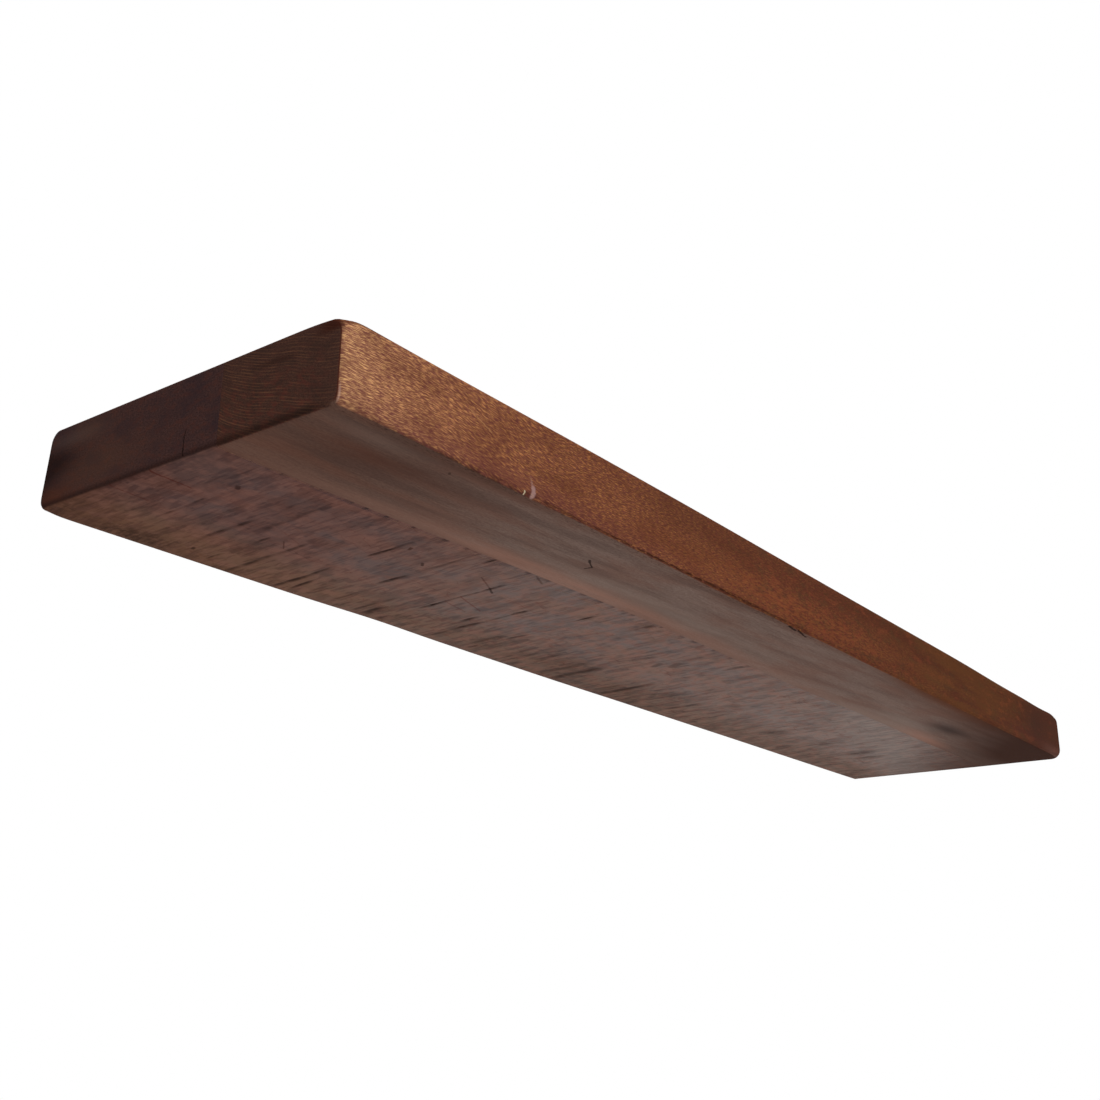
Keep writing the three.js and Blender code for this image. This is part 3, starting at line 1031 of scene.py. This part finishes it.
def front_face_colour(f):
    dashes, level = front_figure(f)
    # Painted light: the face is painted brighter and more golden near its left end, as a pool of light
    # falling there.
    from_left = f.x - LEFT_X
    painted_light_left = (from_left / -45).exp()
    # Painted light falling off: the face's colours darken and its figure fades toward the right.
    painted_light_falloff = (from_left / -300).exp()
    cloud = f.noise(f.x / 34, f.z / 15, 7.0, detail=3)
    shade = f.noise(f.x / 80, f.z / 9, 17.0)
    plum = f.noise(f.x / 3.8, level / 0.75, 27.0, roughness=0.6).step(0.44, 0.6)
    gold = f.noise(f.x / 3.4, level / 0.6, 33.0, roughness=0.6).step(0.46, 0.62)
    ground = f.mix(painted_light_falloff, "#4a2d20", "#683c2e")
    ground = f.layers(
        ground,
        (painted_light_left, "#8e5f47"),
        (plum * painted_light_falloff * 0.5, "#66363c"),
    )
    light = f.mix(painted_light_falloff, "#5a3723", "#bd7645")
    light = f.layers(
        light,
        (painted_light_left, "#eab27e"),
        (gold * painted_light_falloff * 0.5, "#d9a158"),
        (gold * painted_light_left * 0.35, "#f0c992"),
    )
    colour = f.mix(dashes, ground, light)
    colour = f.layers(
        colour,
        (plum * painted_light_falloff * 0.2, "#6e3a3c"),
        (cloud.step(0.44, 0.66) * 0.34, "#532b20"),
        (shade.step(0.54, 0.34) * (1 - painted_light_falloff) * 0.4, "#4a2a1c"),
    )
    fleck = f.noise(f.x / 7, f.z / 1.6, 43.0, detail=3, roughness=0.65)
    glow = f.x.near(-60, 130) * f.z.near(-8, 10) * 0.85
    glow = glow + f.x.near(305, 36) * f.z.near(15, 7) * 0.7
    glow = glow + f.x.near(290, 50) * f.z.near(-16, 4) * 0.25
    colour = f.layers(
        colour,
        (glow * fleck.step(0.36, 0.62) * 0.62, "#89502e"),
        (fleck.step(0.56, 0.4) * f.x.step(-220, -60) * 0.3, "#4f2a26"),
        (plum * f.x.near(-40, 160) * 0.4, "#74382a"),
        (f.z.step(-6, 10) * f.x.step(-255, -200) * 0.36, "#4b2b1e"),
        (f.z.step(-2, -13) * f.x.near(350, 60) * 0.4, "#55302a"),
        (f.z.step(-5, -17) * f.x.near(-350, 130) * 0.4, "#5a3030"),
    )
    patch = f.noise(f.x / 17, f.z / 6, 57.0, detail=3, roughness=0.6)
    past_smooth = f.x.step(-190, -90)
    colour = f.layers(
        colour,
        (patch.step(0.53, 0.66) * past_smooth * 0.34, "#7c402b"),
        (patch.step(0.48, 0.36) * past_smooth * 0.34, "#483726"),
    )
    olive = f.x.near(205, 120) * shade.step(0.3, 0.6)
    colour = f.layers(
        colour,
        (olive * 0.5, "#613d22"),
        (f.x.step(320, 400) * 0.5, "#472b25"),
        (f.x.near(384, 24) * f.z.near(-1, 12) * 0.4, "#3a2b25"),
    )
    hazy = f.x.step(380, 430) * f.z.step(-8, -18)
    colour = f.mix(hazy * 0.4, colour, "#6d4e46")
    return colour, dashes


def far_stain(f, wander):
    """Where the underside's dark far corner begins, slantwise across both boards."""
    return (f.x - f.y * 1.4 + wander * 40).step(470, 650)


def front_underside_colour(f):
    """The sanded underside: soft bands along the grain, warm next to the sawn board."""
    line = joint_line(f)
    fibres = grain(f, 9, 0.7)
    drift = f.y + f.x * 0.06
    broad = f.noise(f.x / 95, drift / 9, 3.0, detail=3, roughness=0.55)
    tint = f.noise(f.x / 60, drift / 14, 13.0, detail=3)
    # Painted sheen: the underside's colours turn lighter and greyer from the left end toward the right.
    lit = f.x.step(-430, -240)
    thin = f.mix(lit, "#513a33", "#65514a")
    full = f.mix(lit, "#664c41", "#7f6a61")
    nap = f.noise(f.x / 2.2, f.y / 1.2, 23.0, detail=3, roughness=0.8)
    colour = f.mix(fibres.step(0.3, 0.7) * 0.45 + nap.step(0.32, 0.68) * 0.55, thin, full)
    colour = f.mix(tint.step(0.4, 0.66) * 0.36, colour, "#6c4639")
    banding = f.tween(f.x.step(-150, 50), 0.4, 0.26)
    colour = f.mix(broad.step(0.42, 0.66) * banding, colour, "#4b3a35")
    red = f.x.near(-406, 30) * f.y.near(-166, 12) + f.x.near(-375, 34) * f.y.near(-177, 7)
    colour = f.mix(red * (tint.step(0.25, 0.6) * 0.3 + 0.2), colour, "#482a21")
    # Painted sheen: light greyish spots and a band on the underside, where the satin finish would catch the
    # light.
    painted_sheen_spots = f.x.near(-418, 24) * f.y.near(-187, 5) * 0.5
    painted_sheen_spots = painted_sheen_spots + f.x.near(-150, 100) * f.y.near(-154, 9)
    painted_sheen_spots = painted_sheen_spots + f.x.near(225, 60) * f.y.near(-146, 13)
    painted_sheen_spots = painted_sheen_spots + f.x.near(185, 100) * f.y.near(-131, 7)
    colour = f.mix(painted_sheen_spots * 0.4, colour, "#84736a")
    strength = f.x.near(-235, 60) * 0.26 + f.x.near(-200, 210) * 0.32 + 0.1
    strength = strength.most(f.x.near(295, 58) * 0.6) * f.x.step(385, 330)
    warm = (f.y - line + 6 + tint * 5).near(3, 8) * (broad.step(0.3, 0.6) * 0.4 + 0.6)
    colour = f.mix(warm * strength, colour, "#9d7262")
    russet = f.y.step(-188, -198) * f.x.step(40, 150) * f.x.step(330, 260)
    brown = f.y.step(-163, -192) * f.x.step(0, 250) * f.x.step(350, 270)
    colour = f.layers(
        colour,
        (brown * 0.6, "#563629"),
        (russet * 0.75, "#5a321f"),
    )
    rim = f.y.step(-188, -199) * f.x.step(-380, -340)
    colour = f.mix(rim * 0.24, colour, "#4a2c1e")
    blot = f.x.near(272, 38) * f.y.near(-164, 10)
    colour = f.mix(blot * 0.76, colour, "#302827")
    far = far_stain(f, broad) * (0.97 - 0.24 * f.y.step(-162, -132))
    colour = f.mix(far, colour, "#361c12")
    near_front = f.y.step(FRONT_Y + 9, FRONT_Y + 2)
    specks = f.noise(f.x / 4, f.y / 0.9, 5.0, detail=3, roughness=0.75).step(0.53, 0.62)
    worn_dark = near_front * specks * f.x.step(10, -60).most(0.2)
    smudge = f.y.step(FRONT_Y + 10, FRONT_Y + 4) * f.x.near(-368, 44) * nap.step(0.3, 0.6)
    colour = f.mix(smudge * 0.5, colour, "#35251f")
    return f.mix(worn_dark * 0.6, colour, "#2a1a15"), fibres


def front_top_colour(f):
    fibres = grain(f, 30, 0.7)
    rings = ring_lines(f, front_rings(f), 0.2, 0.9)
    broad = f.noise(f.x / 150, f.y / 14, 11.0, detail=3)
    colour = f.mix(fibres.step(0.3, 0.7), "#6a412f", "#7f5139")
    return f.layers(
        colour,
        (rings * 0.25, "#8d5d42"),
        (broad.step(0.45, 0.65) * 0.45, "#54342a"),
    )


def front_end_colour(f):
    height = front_rings(f)
    shown = f.noise(f.y / 9, height / 2.2, f.x / 60, detail=3, roughness=0.6).step(0.38, 0.7)
    lines = ring_lines(f, height) * (shown * 0.85 + 0.08)
    pores = f.noise(f.y / 0.9, f.z / 0.5, f.x / 3, detail=3, roughness=0.75)
    cloud = f.noise(f.y / 12, f.z / 5, 4.0, detail=3)
    tint = f.noise(f.y / 5, height / 2.5, 14.0, detail=3, roughness=0.65)
    colour = f.mix(pores.step(0.3, 0.72), "#3a2622", "#593e34")
    colour = f.mix(cloud.step(0.42, 0.66) * 0.45, colour, "#382925")
    red = f.z.step(11, -4) * f.y.step(-196, -178) * 0.75 + 0.25
    colour = f.layers(
        colour,
        (tint.step(0.42, 0.68) * red * 0.5, "#63322a"),
        (lines * (f.y.step(-170, -140) * 0.12 + 0.4), "#80583f"),
    )
    band = f.y.near(JOINT_Y - 33, 12) * (f.z - 0.05 * f.y).near(17.6, 1.5)
    return f.mix(band * 0.45, colour, "#2b1a16")


def front_marks(f, colour, to_front, low):
    """The few dents, stains and chips that show on the smooth board."""
    shake = f.noise(f.x / 1.6, f.y / 1.6, f.z / 1.6) * 1.2 - 0.6
    x = f.x + shake
    y = f.y + shake
    z = f.z + shake
    hook = f.strokes(x, y, (-241.5, -170.5, -238.5, -168.5, 1.1))
    hook = hook.most(f.strokes(x, y, (-238.5, -168.5, -231.5, -165, 0.65)))
    hook = hook.most(f.strokes(x, y, (-231.5, -165, -232.3, -161, 0.9)))
    colour = f.mix(hook * low * 0.8, colour, "#1e1513")
    nick = f.strokes(x, y, (-73, -197.8, -62, -196.6, 1.0))
    nick = nick.most(f.strokes(x, y, (-60, -197.4, -46, -195.2, 0.9)))
    colour = f.mix(nick * 0.85, colour, "#1c110d")
    speck = f.strokes(x, y, (-372, -188.5, -371, -187.5, 0.9))
    colour = f.mix(speck * low * 0.5, colour, "#22130f")
    smear = f.strokes(x, z, (-329.6, -10.5, -327.8, -15.5, 1.2)) * 0.6
    smear = smear.most(f.strokes(x, z, (-327.6, -15, -326.8, -18.4, 2.0)))
    colour = f.mix(smear * to_front * z.step(-8, -17) * 0.36, colour, "#ccaba6")
    streak = f.strokes(x, z, (-372.5, 6.8, -358, 1.2, 0.55))
    colour = f.mix(streak * to_front * 0.24, colour, "#d09a63")
    chip = f.strokes(x, z, (-333.4, -18.2, -332.8, -19.4, 0.6))
    return f.mix(chip * to_front * 0.6, colour, "#e4d6b2")


def front_arrises(f, colour):
    """What wear and stain left along the arrises of the smooth board, with painted shade down the left
    upright arris and a painted highlight low on it.
    """
    rolled = f.up.near(-0.62, 0.2) * f.back.step(-0.2, -0.5)
    worms = f.noise(f.x / 7, f.z / 1.5, 3.0, detail=3, roughness=0.65).step(0.37, 0.53)
    reach = f.x.near(-190, 140) * 0.72 + 0.16
    colour = f.mix(rolled * worms * reach, colour, "#2d1810")
    below = f.up.near(-0.87, 0.11) * f.back.step(-0.15, -0.35)
    colour = f.mix(below * worms * f.x.near(-370, 60) * 0.6, colour, "#33211b")
    # Painted shade: a thin dark red line down the upright arris between the front and the left end.
    painted_shade_upright = f.right.near(-0.93, 0.05) * f.back.step(-0.1, -0.3)
    colour = f.mix(painted_shade_upright * 0.7, colour, "#48190f")
    # Painted shade: the same dark line carried up to the top corner.
    painted_shade_crest = f.x.step(LEFT_X + 1.8, LEFT_X + 0.9) * f.z.step(11, 15) * f.y.step(-180, -194)
    colour = f.mix(painted_shade_crest * 0.75, colour, "#3d1a12")
    rim = f.up.step(0.3, 0.6) * f.x.step(-400, -432)
    colour = f.mix(rim * 0.7, colour, "#4b2013")
    # A pale line low on the left upright arris: partly wear, partly a painted highlight where the rounded
    # arris catches the light.
    rubbed = f.right.near(-0.72, 0.14) * f.z.step(-9, -15) * f.back.step(-0.3, -0.6)
    return f.mix(rubbed * 0.5, colour, "#c29d8d")


def front_board_finish():
    f = Finish("front_board_wood")
    front, dashes = front_face_colour(f)
    under, fibres = front_underside_colour(f)
    sawn, _, streaks = sawn_colour(f)
    low = (-f.up).step(0.5, 0.8)
    to_front = (-f.back).step(0.3, 0.55)
    to_top = f.up.step(0.3, 0.7)
    beside_front = (-f.back).step(0.0, 0.1)
    to_end = abs(f.right).step(0.4, 0.6) * (1 - beside_front)
    to_end = to_end.most(abs(f.right).step(0.88, 0.98))
    unsanded = (f.y - joint_line(f) + f.noise(f.x / 3, 1.0, 1.0) - 0.5).step(-0.5, 0.5)
    under = f.mix(unsanded, under, marked(f, sawn))
    colour = f.mix(to_top, under, front_top_colour(f))
    colour = f.mix(to_front, colour, front)
    colour = f.mix(to_end, colour, front_end_colour(f))
    colour = front_arrises(f, colour)
    colour = front_marks(f, colour, to_front, low)
    # Painted shade: the end faces darken along their lowest millimetres, toward the underside.
    painted_shade_foot = f.z.step(-14.5, -19) * abs(f.right).step(0.5, 0.8) * f.y.step(-198, -180)
    colour = f.mix(painted_shade_foot * 0.6, colour, "#1c110e")
    roughness = f.tween(low, DULL, SATIN) + fibres * 0.1
    height = dashes * to_front * 0.04 + fibres * 0.03 + streaks * unsanded * low * 0.06
    return f.finish(colour, roughness, height, specular=WOOD_SPECULAR)


def saw_patches(f, wide, long, seed):
    """Soft patches with straight sides, which each pass of the saw left in the stain."""
    across = (f.x - f.y * SLANT) / wide
    soft = f.noise(across, f.y / long, seed)
    shake = f.noise(f.x / 5, f.y / 5, seed) * 0.7
    column = (across * 0.7 + shake).floor()
    row = (f.y / long * 0.8 + f.random(column, seed) * 5 + shake * 0.3).floor()
    return soft * 0.8 + f.random(column, row, seed) * 0.2


def sawn_colour(f):
    across = f.x - f.y * SLANT
    patches = saw_patches(f, 2.6, 13, 2.0)
    broad_patches = saw_patches(f, 7.5, 30, 9.0)
    streaks = f.noise(across / 0.9, f.y / 22, 6.0)
    hue = f.noise(f.x / 60, f.y / 30, 8.0, detail=3)
    mottle = f.noise(f.x / 8, f.y / 8, 21.0, detail=3, roughness=0.55)
    # Painted sheen: the sawn colour turns lighter and greyer toward the right.
    lit = f.x.step(-400, -180)
    painted_sheen_right = f.x.step(-120, 260)
    ruddy = f.mix(lit, "#704d45", "#80655b")
    grey = f.mix(lit, "#614b48", "#766662")
    colour = f.mix(hue.step(0.38, 0.62), ruddy, grey)
    colour = f.mix(painted_sheen_right * 0.75, colour, "#887973")
    to_back = (f.y + hue * 40).step(-46, 2)
    brown = (1 - lit) * 0.1 + 0.6
    colour = f.mix(to_back * brown, colour, f.mix(lit, "#77543e", "#6f5444"))
    colour = f.mix(f.x.step(-412, -446) * 0.34, colour, "#4e2f26")
    past_left = f.x.step(-290, -130)
    colour = f.layers(
        colour,
        (mottle.step(0.42, 0.66) * (past_left * 0.16 + 0.3), "#8d6155"),
        (mottle.step(0.5, 0.32) * past_left * 0.24, "#554744"),
    )
    # Painted sheen: a pale grey band slanting across the sawn underside.
    pale = (f.y + 122 - 0.24 * (f.x - 200)).near(0, 24) * f.x.step(60, 230)
    colour = f.mix(pale * 0.5, colour, "#8d817b")
    plenty = (1 - lit) * 0.1 + f.y.step(-70, -20) * 0.16 * lit + 0.55
    broad_share = broad_patches.step(0.46, 0.6) * (plenty + 0.2) * 0.42
    colour = f.layers(
        colour,
        (broad_share, "#b4b2b6", "MULTIPLY"),
        (patches.step(0.5, 0.6) * plenty * 0.58, "#a8a7b5", "MULTIPLY"),
        (streaks.step(0.5, 0.72) * plenty * 0.36, "#a8a09c", "MULTIPLY"),
        (far_stain(f, hue) * 0.9, "#43291f"),
    )
    wander = f.noise(f.x / 60, (f.y - f.x * 0.1) / 12, 12.0)
    thread = abs(wander - 0.5).step(0.008, 0.001) * hue.step(0.6, 0.4)
    return f.mix(thread * 0.3, colour, "#4a1f18"), patches, streaks


def marked(f, colour):
    """The sawn colour with its saw marks, stains, scratches and the edge of the sanding."""
    accents = f.noise(f.x / 9, f.y / 9, 31.0)
    marks = f.attribute("saw_mark").step(0.005, 0.31) * (accents.step(0.36, 0.58) * 0.42 + 0.58)
    colour = f.mix(marks * 0.9, colour, "#271915")
    stains = f.attribute("stain") * (mottled_edge(f) * 0.6 + 0.4)
    colour = f.mix(stains, colour, "#2b1b15")
    at_joint = (f.y - joint_line(f)).step(4, 0.5)
    dashes = f.noise(f.x / 8, 3.0, 3.0).step(0.5, 0.62)
    at_joint = at_joint * dashes * (f.x.step(60, -60) * 0.5 + f.x.near(-370, 42) * 0.4)
    colour = f.mix(at_joint, colour, "#2c2223")
    row = (f.y - joint_line(f)).near(2, 1.6) * f.x.near(-368, 36)
    colour = f.mix(row * 0.4, colour, "#3b343b")
    shake = f.noise(f.x / 2.2, f.y / 2.2, 9.0) * 1.6 - 0.8
    x = f.x + shake
    y = f.y + shake
    scratches = [(f.strokes(x, y, tuple(stroke)) * share, code) for *stroke, share, code in SCRATCHES]
    return f.layers(colour, *scratches)


def mottled_edge(f):
    return f.noise(f.x / 3.2, f.y / 6, 41.0, detail=3, roughness=0.65).step(0.36, 0.6)


def rear_top_colour(f):
    fibres = grain(f, 30, 0.7)
    broad = f.noise(f.x / 140, f.y / 16, 15.0, detail=3)
    colour = f.mix(fibres.step(0.3, 0.7), "#5c392c", "#75493a")
    return f.mix(broad.step(0.42, 0.66) * 0.5, colour, "#4a2f27")


def rear_end_colour(f):
    pores = f.noise(f.y / 1.1, f.z / 0.7, f.x / 3, detail=4, roughness=0.8)
    cloud = f.noise(f.y / 20, f.z / 11, 5.0, detail=3)
    tint = f.noise(f.y / 5, f.z / 3, 15.0, detail=3, roughness=0.65)
    colour = f.mix(pores.step(0.3, 0.7), "#342424", "#563c38")
    colour = f.layers(
        colour,
        (tint.step(0.45, 0.65) * 0.35, "#5b3228"),
        (cloud.step(0.42, 0.68) * 0.5, "#32282d"),
    )
    brown = f.y.near(-45, 32) * f.z.near(-7, 12) + f.y.near(-34, 16) * f.z.near(13, 6)
    colour = f.layers(
        colour,
        (brown * 0.35, "#5f4132"),
        # Painted sheen: a greyish patch high on the end face, toward the back.
        (f.y.near(-22, 20) * f.z.near(11.5, 4) * 0.35, "#5b4b47"),
        (f.y.near(-10, 16) * f.z.near(-15, 5) * 0.5, "#5c3322"),
    )
    dark = f.y.near(-8, 20) * f.z.near(1, 8) + f.y.near(0, 10) * f.z.near(-6, 14) * 0.5
    colour = f.mix(dark.least(1.0) * 0.68, colour, "#1c1210")
    shake = f.noise(f.y / 2, f.z / 2, 6.0) * 1.4 - 0.7
    crack = f.strokes(f.y + shake, f.z, (-106.2, -18.5, -106.0, -9.5, 0.5))
    crack = crack.most(f.strokes(f.y + shake, f.z, (-106.0, -9.5, -107.0, -6.5, 0.4)))
    crack = crack.most(f.strokes(f.y, f.z, (-74, 18.5, -74.4, 16.5, 0.4)) * 0.5)
    return f.mix(crack * 0.8, colour, "#140d0b")


def rear_board_finish():
    f = Finish("rear_board_wood")
    sawn, patches, streaks = sawn_colour(f)
    to_top = f.up.step(0.3, 0.7)
    to_end = abs(f.right).step(0.7, 0.9)
    to_under = (-f.up).step(0.3, 0.7)
    colour = f.mix(to_under, rear_top_colour(f), marked(f, sawn))
    colour = f.mix(to_end, colour, rear_end_colour(f))
    # Painted shade: the end faces darken along their lowest millimetres, toward the underside.
    painted_shade_foot = f.z.step(-15.5, -19) * abs(f.right).step(0.5, 0.8)
    colour = f.mix(painted_shade_foot * 0.5, colour, "#1c110e")
    roughness = f.tween(to_under, DULL, SATIN) + streaks * 0.12
    height = (streaks * 0.08 + patches * 0.05) * to_under
    return f.finish(colour, roughness, height, specular=WOOD_SPECULAR)


def bare_wood_finish():
    """Unstained wood, where the boards were bored, routed and jointed."""
    f = Finish("bare_wood")
    fibres = grain(f, 38, 0.5)
    broad = f.noise(f.x / 60, f.y / 9, f.z / 9)
    scorch = f.noise(f.x / 4, f.y / 0.8, f.z / 4)
    colour = f.mix(fibres.step(0.3, 0.7), "#a57a54", "#c79c70")
    colour = f.layers(
        colour,
        (broad.step(0.45, 0.65) * 0.4, "#8d6242"),
        (scorch.step(0.55, 0.75) * 0.3, "#6d4a33"),
    )
    return f.finish(colour, 0.75, fibres * 0.05, specular=WOOD_SPECULAR)


def tenon_finish():
    f = Finish("tenon_wood")
    fibres = f.noise(f.x / 0.5, f.y / 30, f.z / 0.5, detail=3)
    flecks = f.noise(f.x / 0.5, f.y / 2.4, f.z / 0.5, detail=1).step(0.6, 0.7)
    colour = f.mix(fibres.step(0.3, 0.7), "#b98f63", "#d3ad80")
    colour = f.mix(flecks * 0.5, colour, "#9a6b45")
    return f.finish(colour, 0.7, fibres * 0.05, specular=WOOD_SPECULAR)


# Metal finishes


def from_nearest_rod(f):
    """Distance in the plane of the plate from the nearest rod's axis."""
    offset = f.x + ROD_PITCH
    wrapped = (offset / ROD_PITCH - (offset / ROD_PITCH).floor() - 0.5) * ROD_PITCH
    return (wrapped ** 2 + f.z ** 2) ** 0.5


def bar_steel_finish():
    """Dark mill scale, rubbed grey in patches and tinted round the welds."""
    f = Finish("bar_steel")
    scale = f.noise(f.x / 6, f.y / 6, f.z / 6, detail=4, roughness=0.65)
    pits = f.noise(f.x / 0.7, f.y / 0.7, f.z / 0.7)
    rubbed = f.noise(f.x / 45, f.y / 9, f.z / 5, detail=3, roughness=0.6)
    colour = f.mix(scale.step(0.35, 0.65), "#3f4246", "#5b5d60")
    colour = f.mix(rubbed.step(0.56, 0.68) * 0.7, colour, "#8d8f92")
    heat = from_nearest_rod(f)
    colour = f.layers(
        colour,
        (heat.near(12.5, 1.6) * 0.4, "#7a6238"),
        (heat.near(15.5, 2.0) * 0.35, "#3f4c7c"),
    )
    roughness = 0.42 + scale * 0.25 - rubbed.step(0.56, 0.68) * 0.1
    height = scale * 0.05 + pits.step(0.62, 0.72) * -0.06
    return f.finish(colour, roughness, height, metallic=0.75)


def weld_finish():
    f = Finish("weld_steel")
    slag = f.noise(f.x / 1.6, f.y / 1.6, f.z / 1.6, detail=3)
    colour = f.mix(slag.step(0.35, 0.7), "#6a655e", "#8f8a82")
    tint = f.noise(f.x / 4, f.y / 4, f.z / 4, detail=1)
    colour = f.mix(tint.step(0.5, 0.68) * 0.5, colour, "#7d6040")
    return f.finish(colour, 0.36 + slag * 0.2, slag * 0.06, metallic=0.85)


def screw_finish():
    """Yellow zinc, with the passivation's faint rainbow."""
    f = Finish("screw_steel")
    tint = f.noise(f.x / 3, f.y / 5, f.z / 3)
    grime = f.noise(f.x / 1.1, f.y / 1.1, f.z / 1.1, detail=3)
    colour = f.mix(tint.step(0.35, 0.65), "#b99a52", "#cdbb84")
    colour = f.layers(
        colour,
        (tint.step(0.6, 0.72) * 0.4, "#b48f86"),
        (grime.step(0.62, 0.75) * 0.4, "#6d5a35"),
    )
    return f.finish(colour, 0.28 + grime * 0.15, grime * 0.015, metallic=0.95)


# Studio


def white_backdrop_world():
    """White behind the object and in its gloss, and a plain soft light on its surfaces."""
    world = bpy.data.worlds.new("studio")
    world.use_nodes = True
    tree = world.node_tree
    tree.nodes.clear()
    path = tree.nodes.new("ShaderNodeLightPath")
    soft = tree.nodes.new("ShaderNodeBackground")
    soft.inputs["Color"].default_value = (1, 1, 1, 1)
    soft.inputs["Strength"].default_value = WORLD_LIGHT
    white = tree.nodes.new("ShaderNodeBackground")
    white.inputs["Color"].default_value = (1, 1, 1, 1)
    white.inputs["Strength"].default_value = 1
    seen = Field(tree, path.outputs["Is Camera Ray"])
    seen = seen.most(Field(tree, path.outputs["Is Glossy Ray"]))
    seen = seen.most(Field(tree, path.outputs["Is Transmission Ray"]))
    mixed = tree.nodes.new("ShaderNodeMixShader")
    feed(tree, mixed.inputs[0], seen)
    feed(tree, mixed.inputs[1], soft.outputs[0])
    feed(tree, mixed.inputs[2], white.outputs[0])
    output = tree.nodes.new("ShaderNodeOutputWorld")
    feed(tree, output.inputs["Surface"], mixed.outputs[0])
    bpy.context.scene.world = world


def floor():
    """A pale disc that takes the shelf's shadow and fades into the white backdrop."""
    mesh = bpy.data.meshes.new("floor")
    work = bmesh.new()
    bmesh.ops.create_circle(work, cap_ends=True, segments=96, radius=FLOOR_RADIUS)
    work.to_mesh(mesh)
    work.free()
    piece = new_object("floor", mesh)
    piece.location.z = FLOOR_Z
    f = Finish("floor")
    f.finish("#e6e6e4", 0.9, specular=0.1)
    path = f.tree.nodes.new("ShaderNodeLightPath")
    seen = Field(f.tree, path.outputs["Is Camera Ray"])
    glow = f.tree.nodes.new("ShaderNodeEmission")
    out = (f.x ** 2 + f.y ** 2) ** 0.5 * MM
    mixed = f.tree.nodes.new("ShaderNodeMixShader")
    feed(f.tree, mixed.inputs[0], out.step(*FLOOR_FADE) * seen)
    feed(f.tree, mixed.inputs[1], f.shader.outputs[0])
    feed(f.tree, mixed.inputs[2], glow.outputs[0])
    feed(f.tree, f.tree.nodes["Material Output"].inputs["Surface"], mixed.outputs[0])
    mesh.materials.append(f.material)


def soft_lamp(name, place, faces, size, watts):
    """A large area lamp, hidden from the camera, that faces a point."""
    data = bpy.data.lights.new(name, "AREA")
    data.shape = "RECTANGLE"
    data.size, data.size_y = size
    data.energy = watts
    lamp = new_object(name, data)
    lamp.location = place
    lamp.rotation_mode = "QUATERNION"
    lamp.rotation_quaternion = (Vector(faces) - lamp.location).to_track_quat("-Z", "Y")
    lamp.visible_camera = False


def camera():
    """Below and in front of the shelf's left end, looking along its underside."""
    data = bpy.data.cameras.new("camera")
    data.sensor_width = CAMERA_SENSOR
    data.lens = CAMERA_LENS
    data.clip_start = 0.01
    piece = new_object("camera", data)
    piece.location = CAMERA_PLACE
    turn = Euler((math.radians(90 + CAMERA_ELEVATION), 0, math.radians(-CAMERA_AZIMUTH)))
    roll = Matrix.Rotation(math.radians(CAMERA_ROLL), 3, "Z")
    piece.rotation_euler = (turn.to_matrix() @ roll).to_euler()
    bpy.context.scene.camera = piece


# Assembly


def dress(piece, node, body, slot, *materials):
    piece.data.materials.clear()
    for material in materials:
        piece.data.materials.append(material)
    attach(piece, body)
    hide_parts(node)


def build_shelf():
    bare = bare_wood_finish()
    for piece, node, finish in [
        (front_board(), "front_board", front_board_finish()),
        (rear_board(), "rear_board", rear_board_finish()),
    ]:
        dress(piece, node, "shelf", node + "_wood", finish, bare)
        paint_cut_faces(piece.data)
    tenon_wood = tenon_finish()
    for node in TENONS:
        dress(tenon("fluted_" + node, middle_x(node)), node, "shelf", "tenon_wood", tenon_wood)


def build_bracket():
    steel = bar_steel_finish()
    dress(plate(), "bracket_plate", "bracket", "bar_steel", steel)
    for node in RODS:
        dress(rod("rolled_" + node, middle_x(node)), node, "bracket", "bar_steel", steel)
    weld_steel = weld_finish()
    for number, node in enumerate(WELDS):
        piece = weld("rippled_" + node, middle_x(node), 1.1 * number)
        dress(piece, node, "bracket", "weld_steel", weld_steel)
    screw_steel = screw_finish()
    for number, node in enumerate(SCREWS):
        piece = screw("threaded_" + node, middle_x(node), 0.7 * number + 0.2)
        dress(piece, node, "bracket", "screw_steel", screw_steel)


def build_studio():
    bpy.context.scene.view_settings.view_transform = "Standard"
    white_backdrop_world()
    floor()
    soft_lamp("front_lamp", (-0.9, -2.4, 0.5), SHELF_MIDDLE, (2.2, 1.6), 26)
    soft_lamp("top_lamp", (0.3, -0.8, 2.2), SHELF_MIDDLE, (2.4, 1.8), 26)
    soft_lamp("low_lamp", (0.45, -0.4, -1.25), (0.45, -0.4, 0), (1.8, 1.4), 5.5)
    camera()


build_studio()
build_shelf()
build_bracket()
